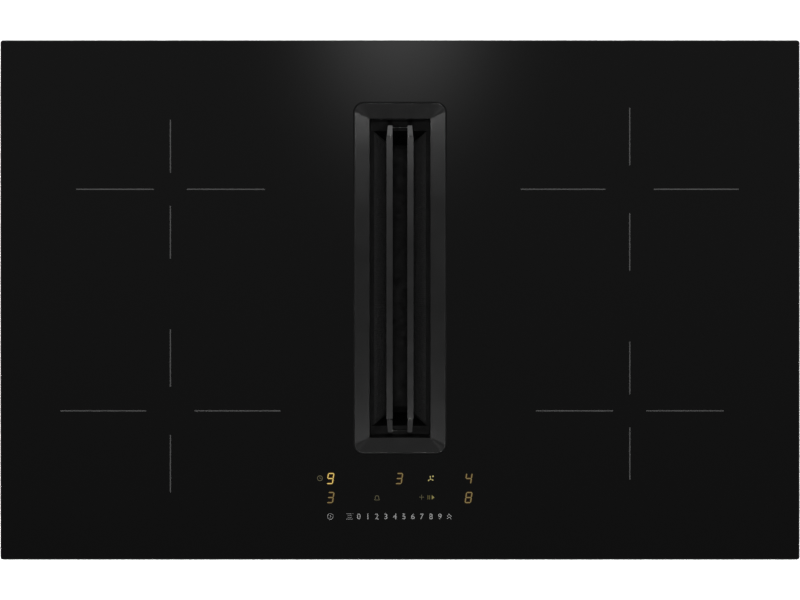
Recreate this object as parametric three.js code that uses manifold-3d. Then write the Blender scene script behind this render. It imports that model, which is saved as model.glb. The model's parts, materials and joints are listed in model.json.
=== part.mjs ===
// Downdraft induction cooktop: a black glass plate with an air intake in its
// middle, two sheet-steel casings with the induction zones, and a fan module.
// Millimetres. X runs to the user's right, Y to the back, Z up.
// The origin is under the middle of the glass, level with the module's underside.
import * as THREE from 'three';
import { mergeVertices } from 'three/addons/utils/BufferGeometryUtils.js';
import Module from 'manifold-3d';

const wasm = await Module();
wasm.setup();

// ---------------------------------------------------------------- dimensions

// Clearances.
const fit = 0.3; // between pieces that seat on each other
const runningGap = 0.5; // between a turning piece and a fixed one
const liftGap = 0.7; // round a piece that lifts out through the intake

// Glass plate.
const glassWidth = 800;
const glassDepth = 520;
const glassThickness = 4;
const glassCornerRadius = 3;
const glassFacet = 1;
const installedDepth = 200; // module underside to glass top

// Worktop seal, a foam tape under the glass rim.
const sealInset = 2;
const sealWidth = 10;
const sealThickness = 2.7;

// Intake bezel: four faces that slope down to the opening.
const intakeY = 21.9; // centre of the intake, behind the middle of the glass
const bezelWidth = 90;
const bezelLength = 349;
const bezelRadius = 9;
const bezelProud = 1.2; // above the glass
const bezelFace = 14.5; // width of a sloping face, seen from above
const bezelRim = 0.6; // flat rim outside the sloping faces
const bezelLand = 0.9; // upright edge round the opening
const bezelDepth = 9.4;

// Gasket between bezel, glass and shaft.
const gasketLip = 1.2;
const gasketFoot = 4;
const gasketSunk = 0.5; // top of the lip below the glass

// Cover grille: two flat bars with legs.
const barWidth = 6.4;
const barThickness = 3;
const barSpacing = 20.9; // between the centres of the bars
const grilleEndGap = 6; // to the ends of the opening
const grilleSunk = 1; // top of the bars below the glass
const legSlope = 11; // length of a bar's sloping end, seen from above
const legDrop = 5; // how far that end slopes down, before the upright leg
const legHeight = 17.4; // below the underside of the bars
const legThickness = 2.4;
const kneeSet = 0.6; // underside's bend inside the top's bend
const tieLift = 1.5; // above the foot of the legs
const tieSet = 3; // outer face of a tie inside the grille's end
const tieHeight = 4;
const tieThickness = 2;

// Grease filter cassette, a trough with a mesh on each side.
const filterRimHeight = 4;
const filterRimWidth = 1.6;
const filterEndShelf = 10.8; // flat end of the rim, where the grille stands
const filterEndLean = 11; // how far an end leans in, from the rim down to the floor
const filterDepth = 78;
const filterFloorWidth = 21;
const filterSheet = 2;
const filterEndSheet = 2.5;
const meshThickness = 1.6;
const meshEndGap = 0.5;

// Overflow tray.
const trayHeight = 57;
const traySheet = 1.2;
const trayLip = 1.5;
const traySideGap = 1; // between the tray's lip and the opening that it lifts through
const trayEndGap = 2; // between the tray's lip and the ledges that it passes
const gripWidth = 12;

// Intake shaft.
const shaftSheet = 1.5;
const shaftUndercut = 2.5; // the bezel overhangs the shaft's walls by this
const shaftFlange = 7; // past the bezel's outline
const ledgeReach = 11;
const ledgeThickness = 2;
const windowLength = 200;
const windowHeight = 72;
const windowSill = 68; // above the module's underside

// Induction casings.
const casingInsetX = 22; // from the glass edge
const casingInsetY = 18;
const casingInnerX = 58; // from the middle of the glass
const casingHeight = 48;
const casingSheet = 1.2;
const casingFlange = 5;
const ventWidth = 4;
const ventPitch = 8;
const floorVentLength = 60;
const floorVents = 9;
const sideVentHeight = 20;
const sideVents = 12;
const shieldThickness = 1.5;
const shieldDrop = 18.2; // shield underside below the casing's top

// Induction zones.
const zoneInsetX = 170.2; // zone centre from the glass edge
const zoneShift = 10.2; // zone centres drawn in from the casing's quarter lines
const largeCoil = 205;
const smallCoil = 170;
const coilBore = 44;
const coilHeight = 8;
const coilGroove = 1.5;
const coilGrooves = 2;
const coilFacets = 24;
const carrierDisc = 4;
const carrierRim = 2;
const sensorDiameter = 16;

// Power electronics in each casing.
const boardWidth = 150;
const boardLength = 240;
const boardThickness = 1.6;
const boardFeet = 6;
const boardInset = 16; // from the casing's inner wall
const heatsinkWidth = 44;
const heatsinkLength = 150;
const heatsinkHeight = 15;
const heatsinkBase = 3;
const heatsinkFins = 9;
const heatsinkFin = 1.6;

// Cooling fan in each casing.
const coolerSize = 80;
const coolerHeight = 15;
const coolerBore = 74;
const coolerHub = 32;
const coolerStrut = 1.5;
const coolerStrutWidth = 4;
const coolerHubPlate = 2;
const coolerBladeThickness = 2;
const coolerBladeLean = 0.5; // radians
const coolerTipGap = 2;
const coolerRadius = 5;
const coolerBlades = 7;
const coolerInset = 14; // frame to the casing's outer wall

// Control unit under the front of the glass.
const controlWidth = 176;
const controlFrontInset = 20; // carrier's front to the glass edge
const controlHeight = 17.7;
const controlGap = 2; // between the carrier and the shaft's flange
const controlWall = 1.6;
const controlBoardThickness = 1.6;
const lightGuideWidth = 150;
const lightGuideDepth = 52;
const lightGuideHeight = 6;

// Spring clips that hold the cooktop in the worktop's cut-out.
const clipReach = 8.5;
const clipHeight = 28;
const clipDrop = 8; // clip top below the casing's top
const clipWidth = 30;
const clipSpacing = 300;
const clipSheet = 1.2;

// Mains connection under the left casing.
const terminalWidth = 120;
const terminalDepth = 82;
const terminalHeight = 35;
const terminalWall = 2;
const terminalX = -270;
const terminalBackInset = 28; // box back to the glass edge
const glandDiameter = 24;
const glandBore = 11;
const glandLength = 22;

// Fan module.
const moduleLeft = -60;
const moduleSideGap = 12; // outlet to the module's right side
const moduleFront = -185;
const moduleDepth = 435;
const moduleWall = 2.5;
const moduleFloor = 3;
const moduleRadius = 8;
const moduleSplit = 60; // height of the joint between base and cover

// Scroll housing and its cover.
const scrollX = 200;
const scrollY = 20;
const scrollWall = 2.5;
const scrollHeadroom = 7; // scroll height beyond the spigot's height
const tongueGap = 13; // between the impeller and the tongue
const scrollGrowth = 40; // radius gained from the tongue to the outlet
const tongueAngle = 110; // degrees
const mouthY = 160;
const eyeInset = 6; // bell inside the impeller's ring
const bellWall = 2;
const bellFlare = 12;
const bellDrop = 16;
const bellRise = 3;

// Impeller and motor.
const impellerRadius = 95;
const bladeWidth = 17;
const impellerHeight = 72;
const impellerSheet = 2;
const impellerBlades = 28;
const bladeThickness = 1.6;
const bladeSteps = 2; // straight runs in a blade's curve
const bladeLean = 0.16; // radians between a blade's inner and outer edge
const motorRadius = 40;
const motorHeight = 40;
const motorSheet = 3;
const motorShaft = 8;
const motorFlange = 3;
const statorGap = 3; // under the rotor's cap
const motorFlangeReach = 6; // past the rotor
const rotorLift = 2; // rotor above the motor's flange
const hubLift = 2; // impeller's back plate above the rotor's rim
const shaftLift = 6; // shaft's end above the motor's underside

// Outlet spigot with its non-return flap.
const spigotWidth = 222;
const spigotHeight = 89;
const spigotWall = 2;
const spigotEndInset = 1; // spigot end to the glass edge
const spigotFlange = 6;
const spigotFlangeBelow = 5;
const flapPinRadius = 1.5;
const flapBarrel = 3.2;
const flapThickness = 1.6;
const flapSideGap = 1.4;
const flapTipGap = 1.2;
const flapSetBack = 8; // pin behind the scroll's mouth

// Fan control box in the module.
const fanBoxWidth = 120;
const fanBoxDepth = 40;
const fanBoxHeight = 42;
const fanBoxX = 70;
const fanBoxInset = 4; // to the module's front wall
const fanBoxLip = 1.5;
const fanBoxLipHeight = 4;
const fanBoxLipLevel = 32;

// ------------------------------------------------------------ derived levels

const glassTop = installedDepth;
const glassUnder = glassTop - glassThickness;
const casingTop = glassUnder - fit;
const casingBottom = casingTop - casingHeight;
const casingFloor = casingBottom + casingSheet;
const moduleTop = casingBottom - fit;

const bezelTop = glassTop + bezelProud;
const bezelBottom = bezelTop - bezelDepth;
const openingWidth = bezelWidth - 2 * bezelFace;
const openingLength = bezelLength - 2 * bezelFace;
const gasketInner = fit;
const gasketOuter = gasketInner + gasketLip;
const cutoutGap = gasketOuter + fit;

const shaftTop = bezelBottom - fit;
const shaftBottom = moduleFloor + fit;
const shaftInnerX = openingWidth / 2 + shaftUndercut;
const shaftInnerY = openingLength / 2 + shaftUndercut;
const shaftOuterX = shaftInnerX + shaftSheet;
const shaftOuterY = shaftInnerY + shaftSheet;
const flangeHalfX = bezelWidth / 2 + shaftFlange;
const flangeHalfY = bezelLength / 2 + shaftFlange;

const grilleLength = openingLength - 2 * grilleEndGap;
const filterHalfX = openingWidth / 2 - liftGap;
const filterHalfY = openingLength / 2 - liftGap;
const barTop = glassTop - grilleSunk;
const barUnder = barTop - barThickness;
const filterRimTop = barUnder - legHeight - fit;
const filterRimUnder = filterRimTop - filterRimHeight;
const ledgeTop = filterRimUnder - fit;
const ledgeInnerY = shaftInnerY - ledgeReach;
const trayWidth = openingWidth - 2 * (trayLip + traySideGap);

const casingOuterX = glassWidth / 2 - casingInsetX;
const casingHalfY = glassDepth / 2 - casingInsetY;
const controlBack = intakeY - flangeHalfY - controlGap;
const controlFront = controlFrontInset - glassDepth / 2;
const notchX = controlWidth / 2 + fit + casingFlange;
const notchY = controlBack + fit + casingFlange;
const zoneX = glassWidth / 2 - zoneInsetX;
const zoneY = casingHalfY / 2 - zoneShift;
const shieldUnder = casingTop - shieldDrop;
const shieldTop = shieldUnder + shieldThickness;
const carrierUnder = shieldTop + fit;
const carrierTop = carrierUnder + carrierDisc;
const coolerX = casingOuterX - casingSheet - coolerInset - coolerSize / 2;

const scrollUnder = moduleFloor + fit;
const scrollFloor = scrollUnder + scrollWall;
const scrollTop = scrollUnder + spigotHeight + scrollHeadroom;
const scrollStart = impellerRadius + tongueGap;
const scrollEnd = scrollStart + scrollGrowth;
const impellerInner = impellerRadius - bladeWidth;
const eyeRadius = impellerInner - eyeInset;
const motorUnder = scrollFloor + fit;
const rotorBottom = motorUnder + motorFlange + rotorLift;
const rotorTop = rotorBottom + motorHeight;
const impellerBottom = rotorBottom + hubLift;
const impellerTop = impellerBottom + impellerHeight;
const mouthRight = scrollX + scrollEnd;
const mouthLeft = mouthRight - spigotWidth;
const spigotStart = mouthY + fit;
const spigotEnd = glassDepth / 2 - spigotEndInset;
const spigotUnder = scrollFloor;
const spigotTop = spigotUnder + spigotHeight;
const moduleRight = mouthRight + moduleSideGap;
const moduleWidth = moduleRight - moduleLeft;
const moduleBack = moduleFront + moduleDepth;
const flapY = spigotStart + flapSetBack;
const flapZ = spigotTop - spigotWall - flapBarrel - fit;

// ----------------------------------------------------------------- materials

const finishes = {
  blackGlass: { color: 0x101012, roughness: 0.08, metalness: 0 },
  foam: { color: 0x1b1b1b, roughness: 0.95, metalness: 0 },
  blackMetal: { color: 0x2a2a2c, roughness: 0.38, metalness: 0.6 },
  rubber: { color: 0x0c0c0c, roughness: 0.8, metalness: 0 },
  darkSteel: { color: 0x4a4a4a, roughness: 0.45, metalness: 0.9 },
  galvanised: { color: 0xa8abac, roughness: 0.42, metalness: 0.9 },
  aluminium: { color: 0xc4c6c8, roughness: 0.35, metalness: 0.95 },
  blackPlastic: { color: 0x1d1d1f, roughness: 0.55, metalness: 0 },
  greyPlastic: { color: 0x6d7073, roughness: 0.6, metalness: 0 },
  whitePlastic: { color: 0xdedcd6, roughness: 0.5, metalness: 0 },
  copper: { color: 0xa55f34, roughness: 0.4, metalness: 0.8 },
  circuit: { color: 0x1f5a34, roughness: 0.5, metalness: 0 }
};

// ------------------------------------------------------------- solid helpers

function solidOf(geometry) {
  const bare = geometry.clone();
  bare.deleteAttribute('normal');
  bare.deleteAttribute('uv');
  const merged = mergeVertices(bare, 1e-4);
  return new wasm.Manifold(new wasm.Mesh({
    numProp: 3,
    vertProperties: new Float32Array(merged.attributes.position.array),
    triVerts: new Uint32Array(merged.index.array)
  }));
}

function geometryOf(solid) {
  const mesh = solid.getMesh();
  const geometry = new THREE.BufferGeometry();
  geometry.setAttribute('position', new THREE.BufferAttribute(mesh.vertProperties, 3));
  geometry.setIndex(new THREE.BufferAttribute(mesh.triVerts, 1));
  geometry.computeVertexNormals();
  return geometry;
}

const join = (first, ...others) => others.reduce((sum, other) => sum.add(other), first);
const cut = (first, ...others) => others.reduce((rest, other) => rest.subtract(other), first);

// A box between two values on each axis, given in either order.
function box(x0, x1, y0, y1, z0, z1) {
  const geometry = new THREE.BoxGeometry(Math.abs(x1 - x0), Math.abs(y1 - y0), Math.abs(z1 - z0));
  geometry.translate((x0 + x1) / 2, (y0 + y1) / 2, (z0 + z1) / 2);
  return solidOf(geometry);
}

// An upright prism over a shape or a list of [x, y] points.
function prism(outline, z0, z1, curveSegments = 4) {
  const shape = Array.isArray(outline)
    ? new THREE.Shape(outline.map(([x, y]) => new THREE.Vector2(x, y)))
    : outline;
  const geometry = new THREE.ExtrudeGeometry(shape, { depth: z1 - z0, bevelEnabled: false, curveSegments });
  geometry.translate(0, 0, z0);
  return solidOf(geometry);
}

// A prism along Y over a list of [x, z] points.
function prismY(points, y0, y1) {
  const shape = new THREE.Shape(points.map(([x, z]) => new THREE.Vector2(x, z)));
  const geometry = new THREE.ExtrudeGeometry(shape, { depth: y1 - y0, bevelEnabled: false });
  geometry.rotateX(Math.PI / 2);
  geometry.translate(0, y1, 0);
  return solidOf(geometry);
}

// A prism along X over a list of [y, z] points.
function prismX(points, x0, x1) {
  const shape = new THREE.Shape(points.map(([y, z]) => new THREE.Vector2(y, z)));
  const geometry = new THREE.ExtrudeGeometry(shape, { depth: x1 - x0, bevelEnabled: false });
  geometry.rotateX(Math.PI / 2);
  geometry.rotateZ(Math.PI / 2);
  geometry.translate(x0, 0, 0);
  return solidOf(geometry);
}

// A body turned about a Z axis through (x, y), over a closed list of [radius, z] points.
function turned(profile, x = 0, y = 0, segments = 32) {
  const points = [...profile, profile[0]].map(([radius, z]) => new THREE.Vector2(radius, z));
  const geometry = new THREE.LatheGeometry(points, segments);
  geometry.rotateX(Math.PI / 2);
  geometry.translate(x, y, 0);
  return solidOf(geometry);
}

function disc(radius, z0, z1, x = 0, y = 0, segments = 32) {
  const geometry = new THREE.CylinderGeometry(radius, radius, z1 - z0, segments);
  geometry.rotateX(Math.PI / 2);
  geometry.translate(x, y, (z0 + z1) / 2);
  return solidOf(geometry);
}

function roundedRectangle(halfX, halfY, radius, x = 0, y = 0) {
  const shape = new THREE.Shape();
  const right = x + halfX - radius;
  const left = x - halfX + radius;
  const back = y + halfY - radius;
  const front = y - halfY + radius;
  shape.absarc(right, front, radius, -Math.PI / 2, 0);
  shape.absarc(right, back, radius, 0, Math.PI / 2);
  shape.absarc(left, back, radius, Math.PI / 2, Math.PI);
  shape.absarc(left, front, radius, Math.PI, 1.5 * Math.PI);
  return shape;
}

// A solid through level outlines that all have the same number of points.
function loft(levels) {
  const count = levels[0].points.length;
  const positions = levels.flatMap(({ points, z }) => points.flatMap((point) => [point.x, point.y, z]));
  const caps = THREE.ShapeUtils.triangulateShape(levels[0].points, []);
  const top = (levels.length - 1) * count;
  const faces = [];
  for (const [a, b, c] of caps) {
    faces.push(c, b, a, top + a, top + b, top + c);
  }
  for (let level = 0; level < levels.length - 1; level += 1) {
    for (let i = 0; i < count; i += 1) {
      const low = level * count + i;
      const next = level * count + ((i + 1) % count);
      faces.push(low, next, next + count, low, next + count, low + count);
    }
  }
  const geometry = new THREE.BufferGeometry();
  geometry.setAttribute('position', new THREE.Float32BufferAttribute(positions, 3));
  geometry.setIndex(faces);
  return solidOf(geometry);
}

const roundedLevel = (halfX, halfY, radius, z) => ({
  points: roundedRectangle(halfX, halfY, radius).extractPoints(4).shape,
  z
});

// A level of a loft: a rectangle between two values on X and Y, given in either order.
function rectangleLevel(x0, x1, y0, y1, z) {
  const [left, right] = [Math.min(x0, x1), Math.max(x0, x1)];
  const [front, back] = [Math.min(y0, y1), Math.max(y0, y1)];
  const corners = [[left, front], [right, front], [right, back], [left, back]];
  return { points: corners.map(([x, y]) => new THREE.Vector2(x, y)), z };
}

const cooktop = new THREE.Group();

function add(name, solid, finish, parent = cooktop) {
  const material = new THREE.MeshStandardMaterial({ ...finishes[finish], flatShading: true });
  const mesh = new THREE.Mesh(geometryOf(solid), material);
  mesh.name = name;
  parent.add(mesh);
}

// --------------------------------------------------- glass, seal and intake

const intake = new THREE.Group();
intake.position.y = intakeY;
cooktop.add(intake);

function glassPlate() {
  const halfX = glassWidth / 2;
  const halfY = glassDepth / 2;
  const innerRadius = glassCornerRadius - glassFacet;
  const plate = loft([
    roundedLevel(halfX, halfY, glassCornerRadius, glassUnder),
    roundedLevel(halfX, halfY, glassCornerRadius, glassTop - glassFacet),
    roundedLevel(halfX - glassFacet, halfY - glassFacet, innerRadius, glassTop)
  ]);
  const cutout = roundedRectangle(
    bezelWidth / 2 + cutoutGap, bezelLength / 2 + cutoutGap, bezelRadius + cutoutGap, 0, intakeY);
  return cut(plate, prism(cutout, glassUnder - 1, glassTop + 1));
}

function worktopSeal() {
  const halfX = glassWidth / 2 - sealInset;
  const halfY = glassDepth / 2 - sealInset;
  const top = glassUnder - fit;
  const bottom = top - sealThickness;
  return cut(
    box(-halfX, halfX, -halfY, halfY, bottom, top),
    box(-halfX + sealWidth, halfX - sealWidth, -halfY + sealWidth, halfY - sealWidth, bottom - 1, top + 1));
}

function intakeBezel() {
  const halfX = bezelWidth / 2;
  const halfY = bezelLength / 2;
  const inner = openingWidth / 2;
  const innerY = openingLength / 2;
  const sharp = 0.4;
  const body = prism(roundedRectangle(halfX, halfY, bezelRadius), bezelBottom, bezelTop);
  const funnelTop = roundedLevel(halfX - bezelRim, halfY - bezelRim, bezelRadius - bezelRim, bezelTop);
  const funnelBottom = roundedLevel(inner, innerY, sharp, bezelBottom + bezelLand);
  const throat = roundedLevel(inner, innerY, sharp, bezelBottom - 1);
  const above = { points: funnelTop.points, z: bezelTop + 1 };
  return cut(body, loft([throat, funnelBottom, funnelTop, above]));
}

function bezelGasket() {
  const halfX = bezelWidth / 2;
  const halfY = bezelLength / 2;
  const ring = (grow) => roundedRectangle(halfX + grow, halfY + grow, bezelRadius + grow);
  const foot = prism(ring(gasketOuter + gasketFoot), bezelBottom, glassUnder - fit);
  const lip = prism(ring(gasketOuter), bezelBottom, glassTop - gasketSunk);
  return cut(join(foot, lip), prism(ring(gasketInner), bezelBottom - 1, glassTop));
}

function coverGrille() {
  const half = grilleLength / 2;
  const foot = filterRimTop + fit;
  const knee = half - legSlope;
  const kneeIn = knee - kneeSet;
  const legIn = half - legThickness;
  const backHalf = [
    [knee, barTop], [half, barTop - legDrop], [half, foot],
    [legIn, foot], [legIn, barUnder - legDrop], [kneeIn, barUnder]
  ];
  const frontHalf = backHalf.map(([y, z]) => [-y, z]).reverse();
  const side = [...backHalf, ...frontHalf];
  const bars = [-1, 1].map((sign) => {
    const x = sign * barSpacing / 2;
    return prismX(side, x - barWidth / 2, x + barWidth / 2);
  });
  const tieX = barSpacing / 2 - barWidth / 4;
  const tieZ = foot + tieLift;
  const tieY = half - tieSet;
  const ties = [-1, 1].map((sign) =>
    box(-tieX, tieX, sign * tieY, sign * (tieY + tieThickness), tieZ, tieZ + tieHeight));
  return join(...bars, ...ties);
}

// The cassette's cross-section, from its rim down to its floor.
const filterEndY = filterHalfY - filterEndShelf;
const filterFootY = filterEndY - filterEndLean;
const filterBottom = filterRimTop - filterDepth;
const filterFloorTop = filterBottom + filterSheet;
const filterTopX = filterHalfX - filterRimWidth;

function filterFrame() {
  const floorX = filterFloorWidth / 2;
  const rim = cut(
    prism(roundedRectangle(filterHalfX, filterHalfY, 2), filterRimUnder, filterRimTop),
    box(-filterTopX, filterTopX, -filterEndY, filterEndY, filterRimUnder - 1, filterRimTop + 1));
  const joinZ = filterRimUnder + 1;
  const ends = [1, -1].map((sign) => loft([
    rectangleLevel(-floorX, floorX, sign * filterFootY, sign * (filterFootY + filterEndSheet), filterBottom),
    rectangleLevel(-filterTopX, filterTopX, sign * filterEndY, sign * (filterEndY + filterEndSheet), joinZ)
  ]));
  const floorY = filterFootY + filterEndSheet / 2;
  const floor = box(-floorX, floorX, -floorY, floorY, filterBottom, filterFloorTop);
  return join(rim, ...ends, floor);
}

function filterMesh(side) {
  const top = filterRimTop - 1;
  const bottom = filterFloorTop + fit;
  const outerTop = side * (filterTopX - fit);
  const outerBottom = side * (filterFloorWidth / 2 - fit);
  const topY = filterEndY - meshEndGap;
  const footY = filterFootY - meshEndGap;
  return loft([
    rectangleLevel(outerBottom - side * meshThickness, outerBottom, -footY, footY, bottom),
    rectangleLevel(outerTop - side * meshThickness, outerTop, -topY, topY, top)
  ]);
}

function overflowTray() {
  const bottom = shaftBottom + shaftSheet + fit;
  const top = bottom + trayHeight;
  const lipX = trayWidth / 2 + trayLip;
  const lipY = ledgeInnerY - trayEndGap;
  const halfX = trayWidth / 2;
  const halfY = lipY - trayLip;
  const hollow = prism(
    roundedRectangle(halfX - traySheet, halfY - traySheet, 4), bottom + traySheet, top + 1);
  const shell = join(
    prism(roundedRectangle(halfX, halfY, 5), bottom, top),
    prism(roundedRectangle(lipX, lipY, 6), top - traySheet, top));
  const grip = box(-halfX + 0.5, halfX - 0.5, -gripWidth / 2, gripWidth / 2, top - 3, top);
  return join(cut(shell, hollow), grip);
}

function intakeShaft() {
  const walls = box(-shaftOuterX, shaftOuterX, -shaftOuterY, shaftOuterY, shaftBottom, shaftTop);
  const flangeOutline = roundedRectangle(flangeHalfX, flangeHalfY, bezelRadius + shaftFlange);
  const flange = prism(flangeOutline, shaftTop - shaftSheet, shaftTop);
  const hollow = box(
    -shaftInnerX, shaftInnerX, -shaftInnerY, shaftInnerY, shaftBottom + shaftSheet, shaftTop + 1);
  const window = box(
    shaftInnerX - 1, shaftOuterX + 1, -windowLength / 2, windowLength / 2,
    windowSill, windowSill + windowHeight);
  const ledges = [-1, 1].map((sign) => box(
    -filterTopX, filterTopX, sign * ledgeInnerY, sign * (shaftInnerY + shaftSheet / 2),
    ledgeTop - ledgeThickness, ledgeTop));
  return join(cut(join(walls, flange), hollow, window), ...ledges);
}

add('glass_plate', glassPlate(), 'blackGlass');
add('worktop_seal', worktopSeal(), 'foam');
add('intake_bezel', intakeBezel(), 'blackMetal', intake);
add('bezel_gasket', bezelGasket(), 'rubber', intake);
add('cover_grille', coverGrille(), 'blackMetal', intake);
add('filter_frame', filterFrame(), 'darkSteel', intake);
add('filter_mesh_left', filterMesh(-1), 'darkSteel', intake);
add('filter_mesh_right', filterMesh(1), 'darkSteel', intake);
add('overflow_tray', overflowTray(), 'greyPlastic', intake);
add('intake_shaft', intakeShaft(), 'blackPlastic', intake);

// ------------------------------------------------------- induction casings

// Footprint of a casing, grown outwards by a distance, with a notch at its
// front inner corner for the control unit.
const casingOutline = (side, grow) => [
  [casingOuterX + grow, -casingHalfY - grow],
  [casingOuterX + grow, casingHalfY + grow],
  [casingInnerX - grow, casingHalfY + grow],
  [casingInnerX - grow, notchY - grow],
  [notchX - grow, notchY - grow],
  [notchX - grow, -casingHalfY - grow]
].map(([x, y]) => [side * x, y]);

function casing(side) {
  const shell = join(
    prism(casingOutline(side, 0), casingBottom, casingTop),
    prism(casingOutline(side, casingFlange), casingTop - casingSheet, casingTop));
  const hollow = prism(casingOutline(side, -casingSheet), casingFloor, casingTop + 1);
  const floorSlots = Array.from({ length: floorVents }, (_, i) => {
    const y = (i - (floorVents - 1) / 2) * ventPitch;
    return box(
      side * coolerX - floorVentLength / 2, side * coolerX + floorVentLength / 2,
      y - ventWidth / 2, y + ventWidth / 2, casingBottom - 1, casingFloor + 1);
  });
  const sideSlots = Array.from({ length: sideVents }, (_, i) => {
    const y = casingHalfY * 0.3 + i * ventPitch;
    const z = casingFloor + 4;
    return box(
      side * (casingInnerX - 1), side * (casingInnerX + casingSheet + 1),
      y - ventWidth / 2, y + ventWidth / 2, z, z + sideVentHeight);
  });
  return cut(shell, hollow, ...floorSlots, ...sideSlots);
}

function coilWinding(diameter, x, y) {
  const outer = diameter / 2;
  const inner = coilBore / 2;
  const bottom = carrierTop + fit;
  const top = bottom + coilHeight;
  const step = (outer - inner) / (2 * coilGrooves + 1);
  const grooves = Array.from({ length: coilGrooves }, (_, i) => {
    const start = outer - (2 * i + 1) * step;
    return [[start, top], [start, top - coilGroove], [start - step, top - coilGroove], [start - step, top]];
  });
  const profile = [[inner, bottom], [outer, bottom], [outer, top], ...grooves.flat(), [inner, top]];
  return turned(profile, x, y, coilFacets);
}

function coilCarrier(diameter, x, y) {
  const outer = diameter / 2 + fit + carrierRim;
  const inner = sensorDiameter / 2 + fit;
  const hubOuter = coilBore / 2 - fit;
  const rimTop = carrierTop + coilHeight / 2;
  return turned([
    [inner, carrierUnder], [outer, carrierUnder], [outer, rimTop], [outer - carrierRim, rimTop],
    [outer - carrierRim, carrierTop], [hubOuter, carrierTop], [hubOuter, rimTop], [inner, rimTop]
  ], x, y, coilFacets);
}

function zoneSensor(x, y) {
  const radius = sensorDiameter / 2;
  return turned([
    [0, carrierUnder], [radius, carrierUnder], [radius, glassUnder - fit - 3],
    [radius - 2, glassUnder - fit], [0, glassUnder - fit]
  ], x, y, 16);
}

function powerBoard(side) {
  const x0 = casingInnerX + boardInset;
  const x1 = x0 + boardWidth;
  const halfY = boardLength / 2;
  const foot = casingFloor + fit;
  const under = foot + boardFeet;
  const top = under + boardThickness;
  const block = (dx, y, wide, long, high) => {
    const x = side * (x0 + dx);
    return box(x - wide / 2, x + wide / 2, y - long / 2, y + long / 2, top - 0.5, top + high);
  };
  const feet = [x0 + 6, x1 - 6].flatMap((x) => [-halfY + 6, halfY - 6].map((y) =>
    disc(3, foot, under + 0.5, side * x, y, 10)));
  return join(
    box(side * x0, side * x1, -halfY, halfY, under, top), ...feet,
    block(25, -80, 24, 30, 12), block(25, -30, 24, 40, 13), block(25, 40, 26, 30, 13),
    block(30, 90, 36, 36, 11), block(60, -95, 18, 18, 12), block(62, 98, 20, 20, 12));
}

function heatsink(side) {
  const x = side * (casingInnerX + boardInset + boardWidth - 15 - heatsinkWidth / 2);
  const z = casingFloor + fit + boardFeet + boardThickness + fit;
  const half = heatsinkWidth / 2;
  const pitch = (heatsinkWidth - heatsinkFin) / (heatsinkFins - 1);
  const fins = Array.from({ length: heatsinkFins }, (_, i) => {
    const left = x - half + i * pitch;
    return box(
      left, left + heatsinkFin, -heatsinkLength / 2, heatsinkLength / 2, z + 1, z + heatsinkHeight);
  });
  const base = box(
    x - half, x + half, -heatsinkLength / 2, heatsinkLength / 2, z, z + heatsinkBase);
  return join(base, ...fins);
}

// A ring of upright blades round a Z axis, each swept from one radius to another.
function bladeRing(count, inner, outer, thickness, lean, z0, z1) {
  return Array.from({ length: count }, (_, i) => {
    const start = (i / count) * 2 * Math.PI;
    const side = (offset) => Array.from({ length: bladeSteps + 1 }, (__, j) => {
      const share = j / bladeSteps;
      const radius = inner + (outer - inner) * share;
      const angle = start + lean * share * share + offset / radius;
      return [radius * Math.cos(angle), radius * Math.sin(angle)];
    });
    return prism([...side(-thickness / 2), ...side(thickness / 2).reverse()], z0, z1);
  });
}

function coolerFrame(x) {
  const half = coolerSize / 2;
  const z0 = casingFloor + fit;
  const z1 = z0 + coolerHeight;
  const hub = coolerHub / 2;
  const struts = [0, 1, 2, 3].map((i) => {
    const angle = (i + 0.5) * Math.PI / 2;
    const strut = new THREE.BoxGeometry(coolerBore / 2 + 1, coolerStrutWidth, coolerStrut);
    strut.translate((coolerBore / 2 + 1) / 2, 0, z0 + coolerStrut / 2);
    strut.rotateZ(angle);
    strut.translate(x, 0, 0);
    return solidOf(strut);
  });
  return join(
    cut(prism(roundedRectangle(half, half, coolerRadius, x, 0), z0, z1),
      disc(coolerBore / 2, z0 - 1, z1 + 1, x, 0)),
    ...struts, disc(hub, z0, z0 + coolerHubPlate, x, 0, 20));
}

function coolerRotor() {
  const z0 = casingFloor + fit + coolerHubPlate + fit;
  const z1 = casingFloor + fit + coolerHeight - 1;
  const hub = coolerHub / 2;
  const blades = bladeRing(
    coolerBlades, hub - 1, coolerBore / 2 - coolerTipGap, coolerBladeThickness, coolerBladeLean,
    z0 + 1, z1 - 1);
  return join(disc(hub, z0, z1, 0, 0, 20), ...blades);
}

const sides = [['left', -1], ['right', 1]];
const zones = [
  ['front_left', -zoneX, -zoneY, largeCoil],
  ['rear_left', -zoneX, zoneY, smallCoil],
  ['front_right', zoneX, -zoneY, smallCoil],
  ['rear_right', zoneX, zoneY, largeCoil]
];

for (const [word, side] of sides) {
  add(`casing_${word}`, casing(side), 'galvanised');
  const shieldOutline = casingOutline(side, -casingSheet - fit);
  add(`shield_plate_${word}`, prism(shieldOutline, shieldUnder, shieldTop), 'aluminium');
  add(`power_board_${word}`, powerBoard(side), 'circuit');
  add(`heatsink_${word}`, heatsink(side), 'aluminium');
  add(`cooling_fan_frame_${word}`, coolerFrame(side * coolerX), 'blackPlastic');
  const axle = new THREE.Group();
  axle.position.x = side * coolerX;
  cooktop.add(axle);
  add(`cooling_fan_rotor_${word}`, coolerRotor(), 'blackPlastic', axle);
}

for (const [place, x, y, diameter] of zones) {
  add(`induction_coil_${place}`, coilWinding(diameter, x, y), 'copper');
  add(`coil_carrier_${place}`, coilCarrier(diameter, x, y), 'whitePlastic');
  add(`zone_sensor_${place}`, zoneSensor(x, y), 'whitePlastic');
}

// ------------------------------------- controls, clips and mains connection

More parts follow.
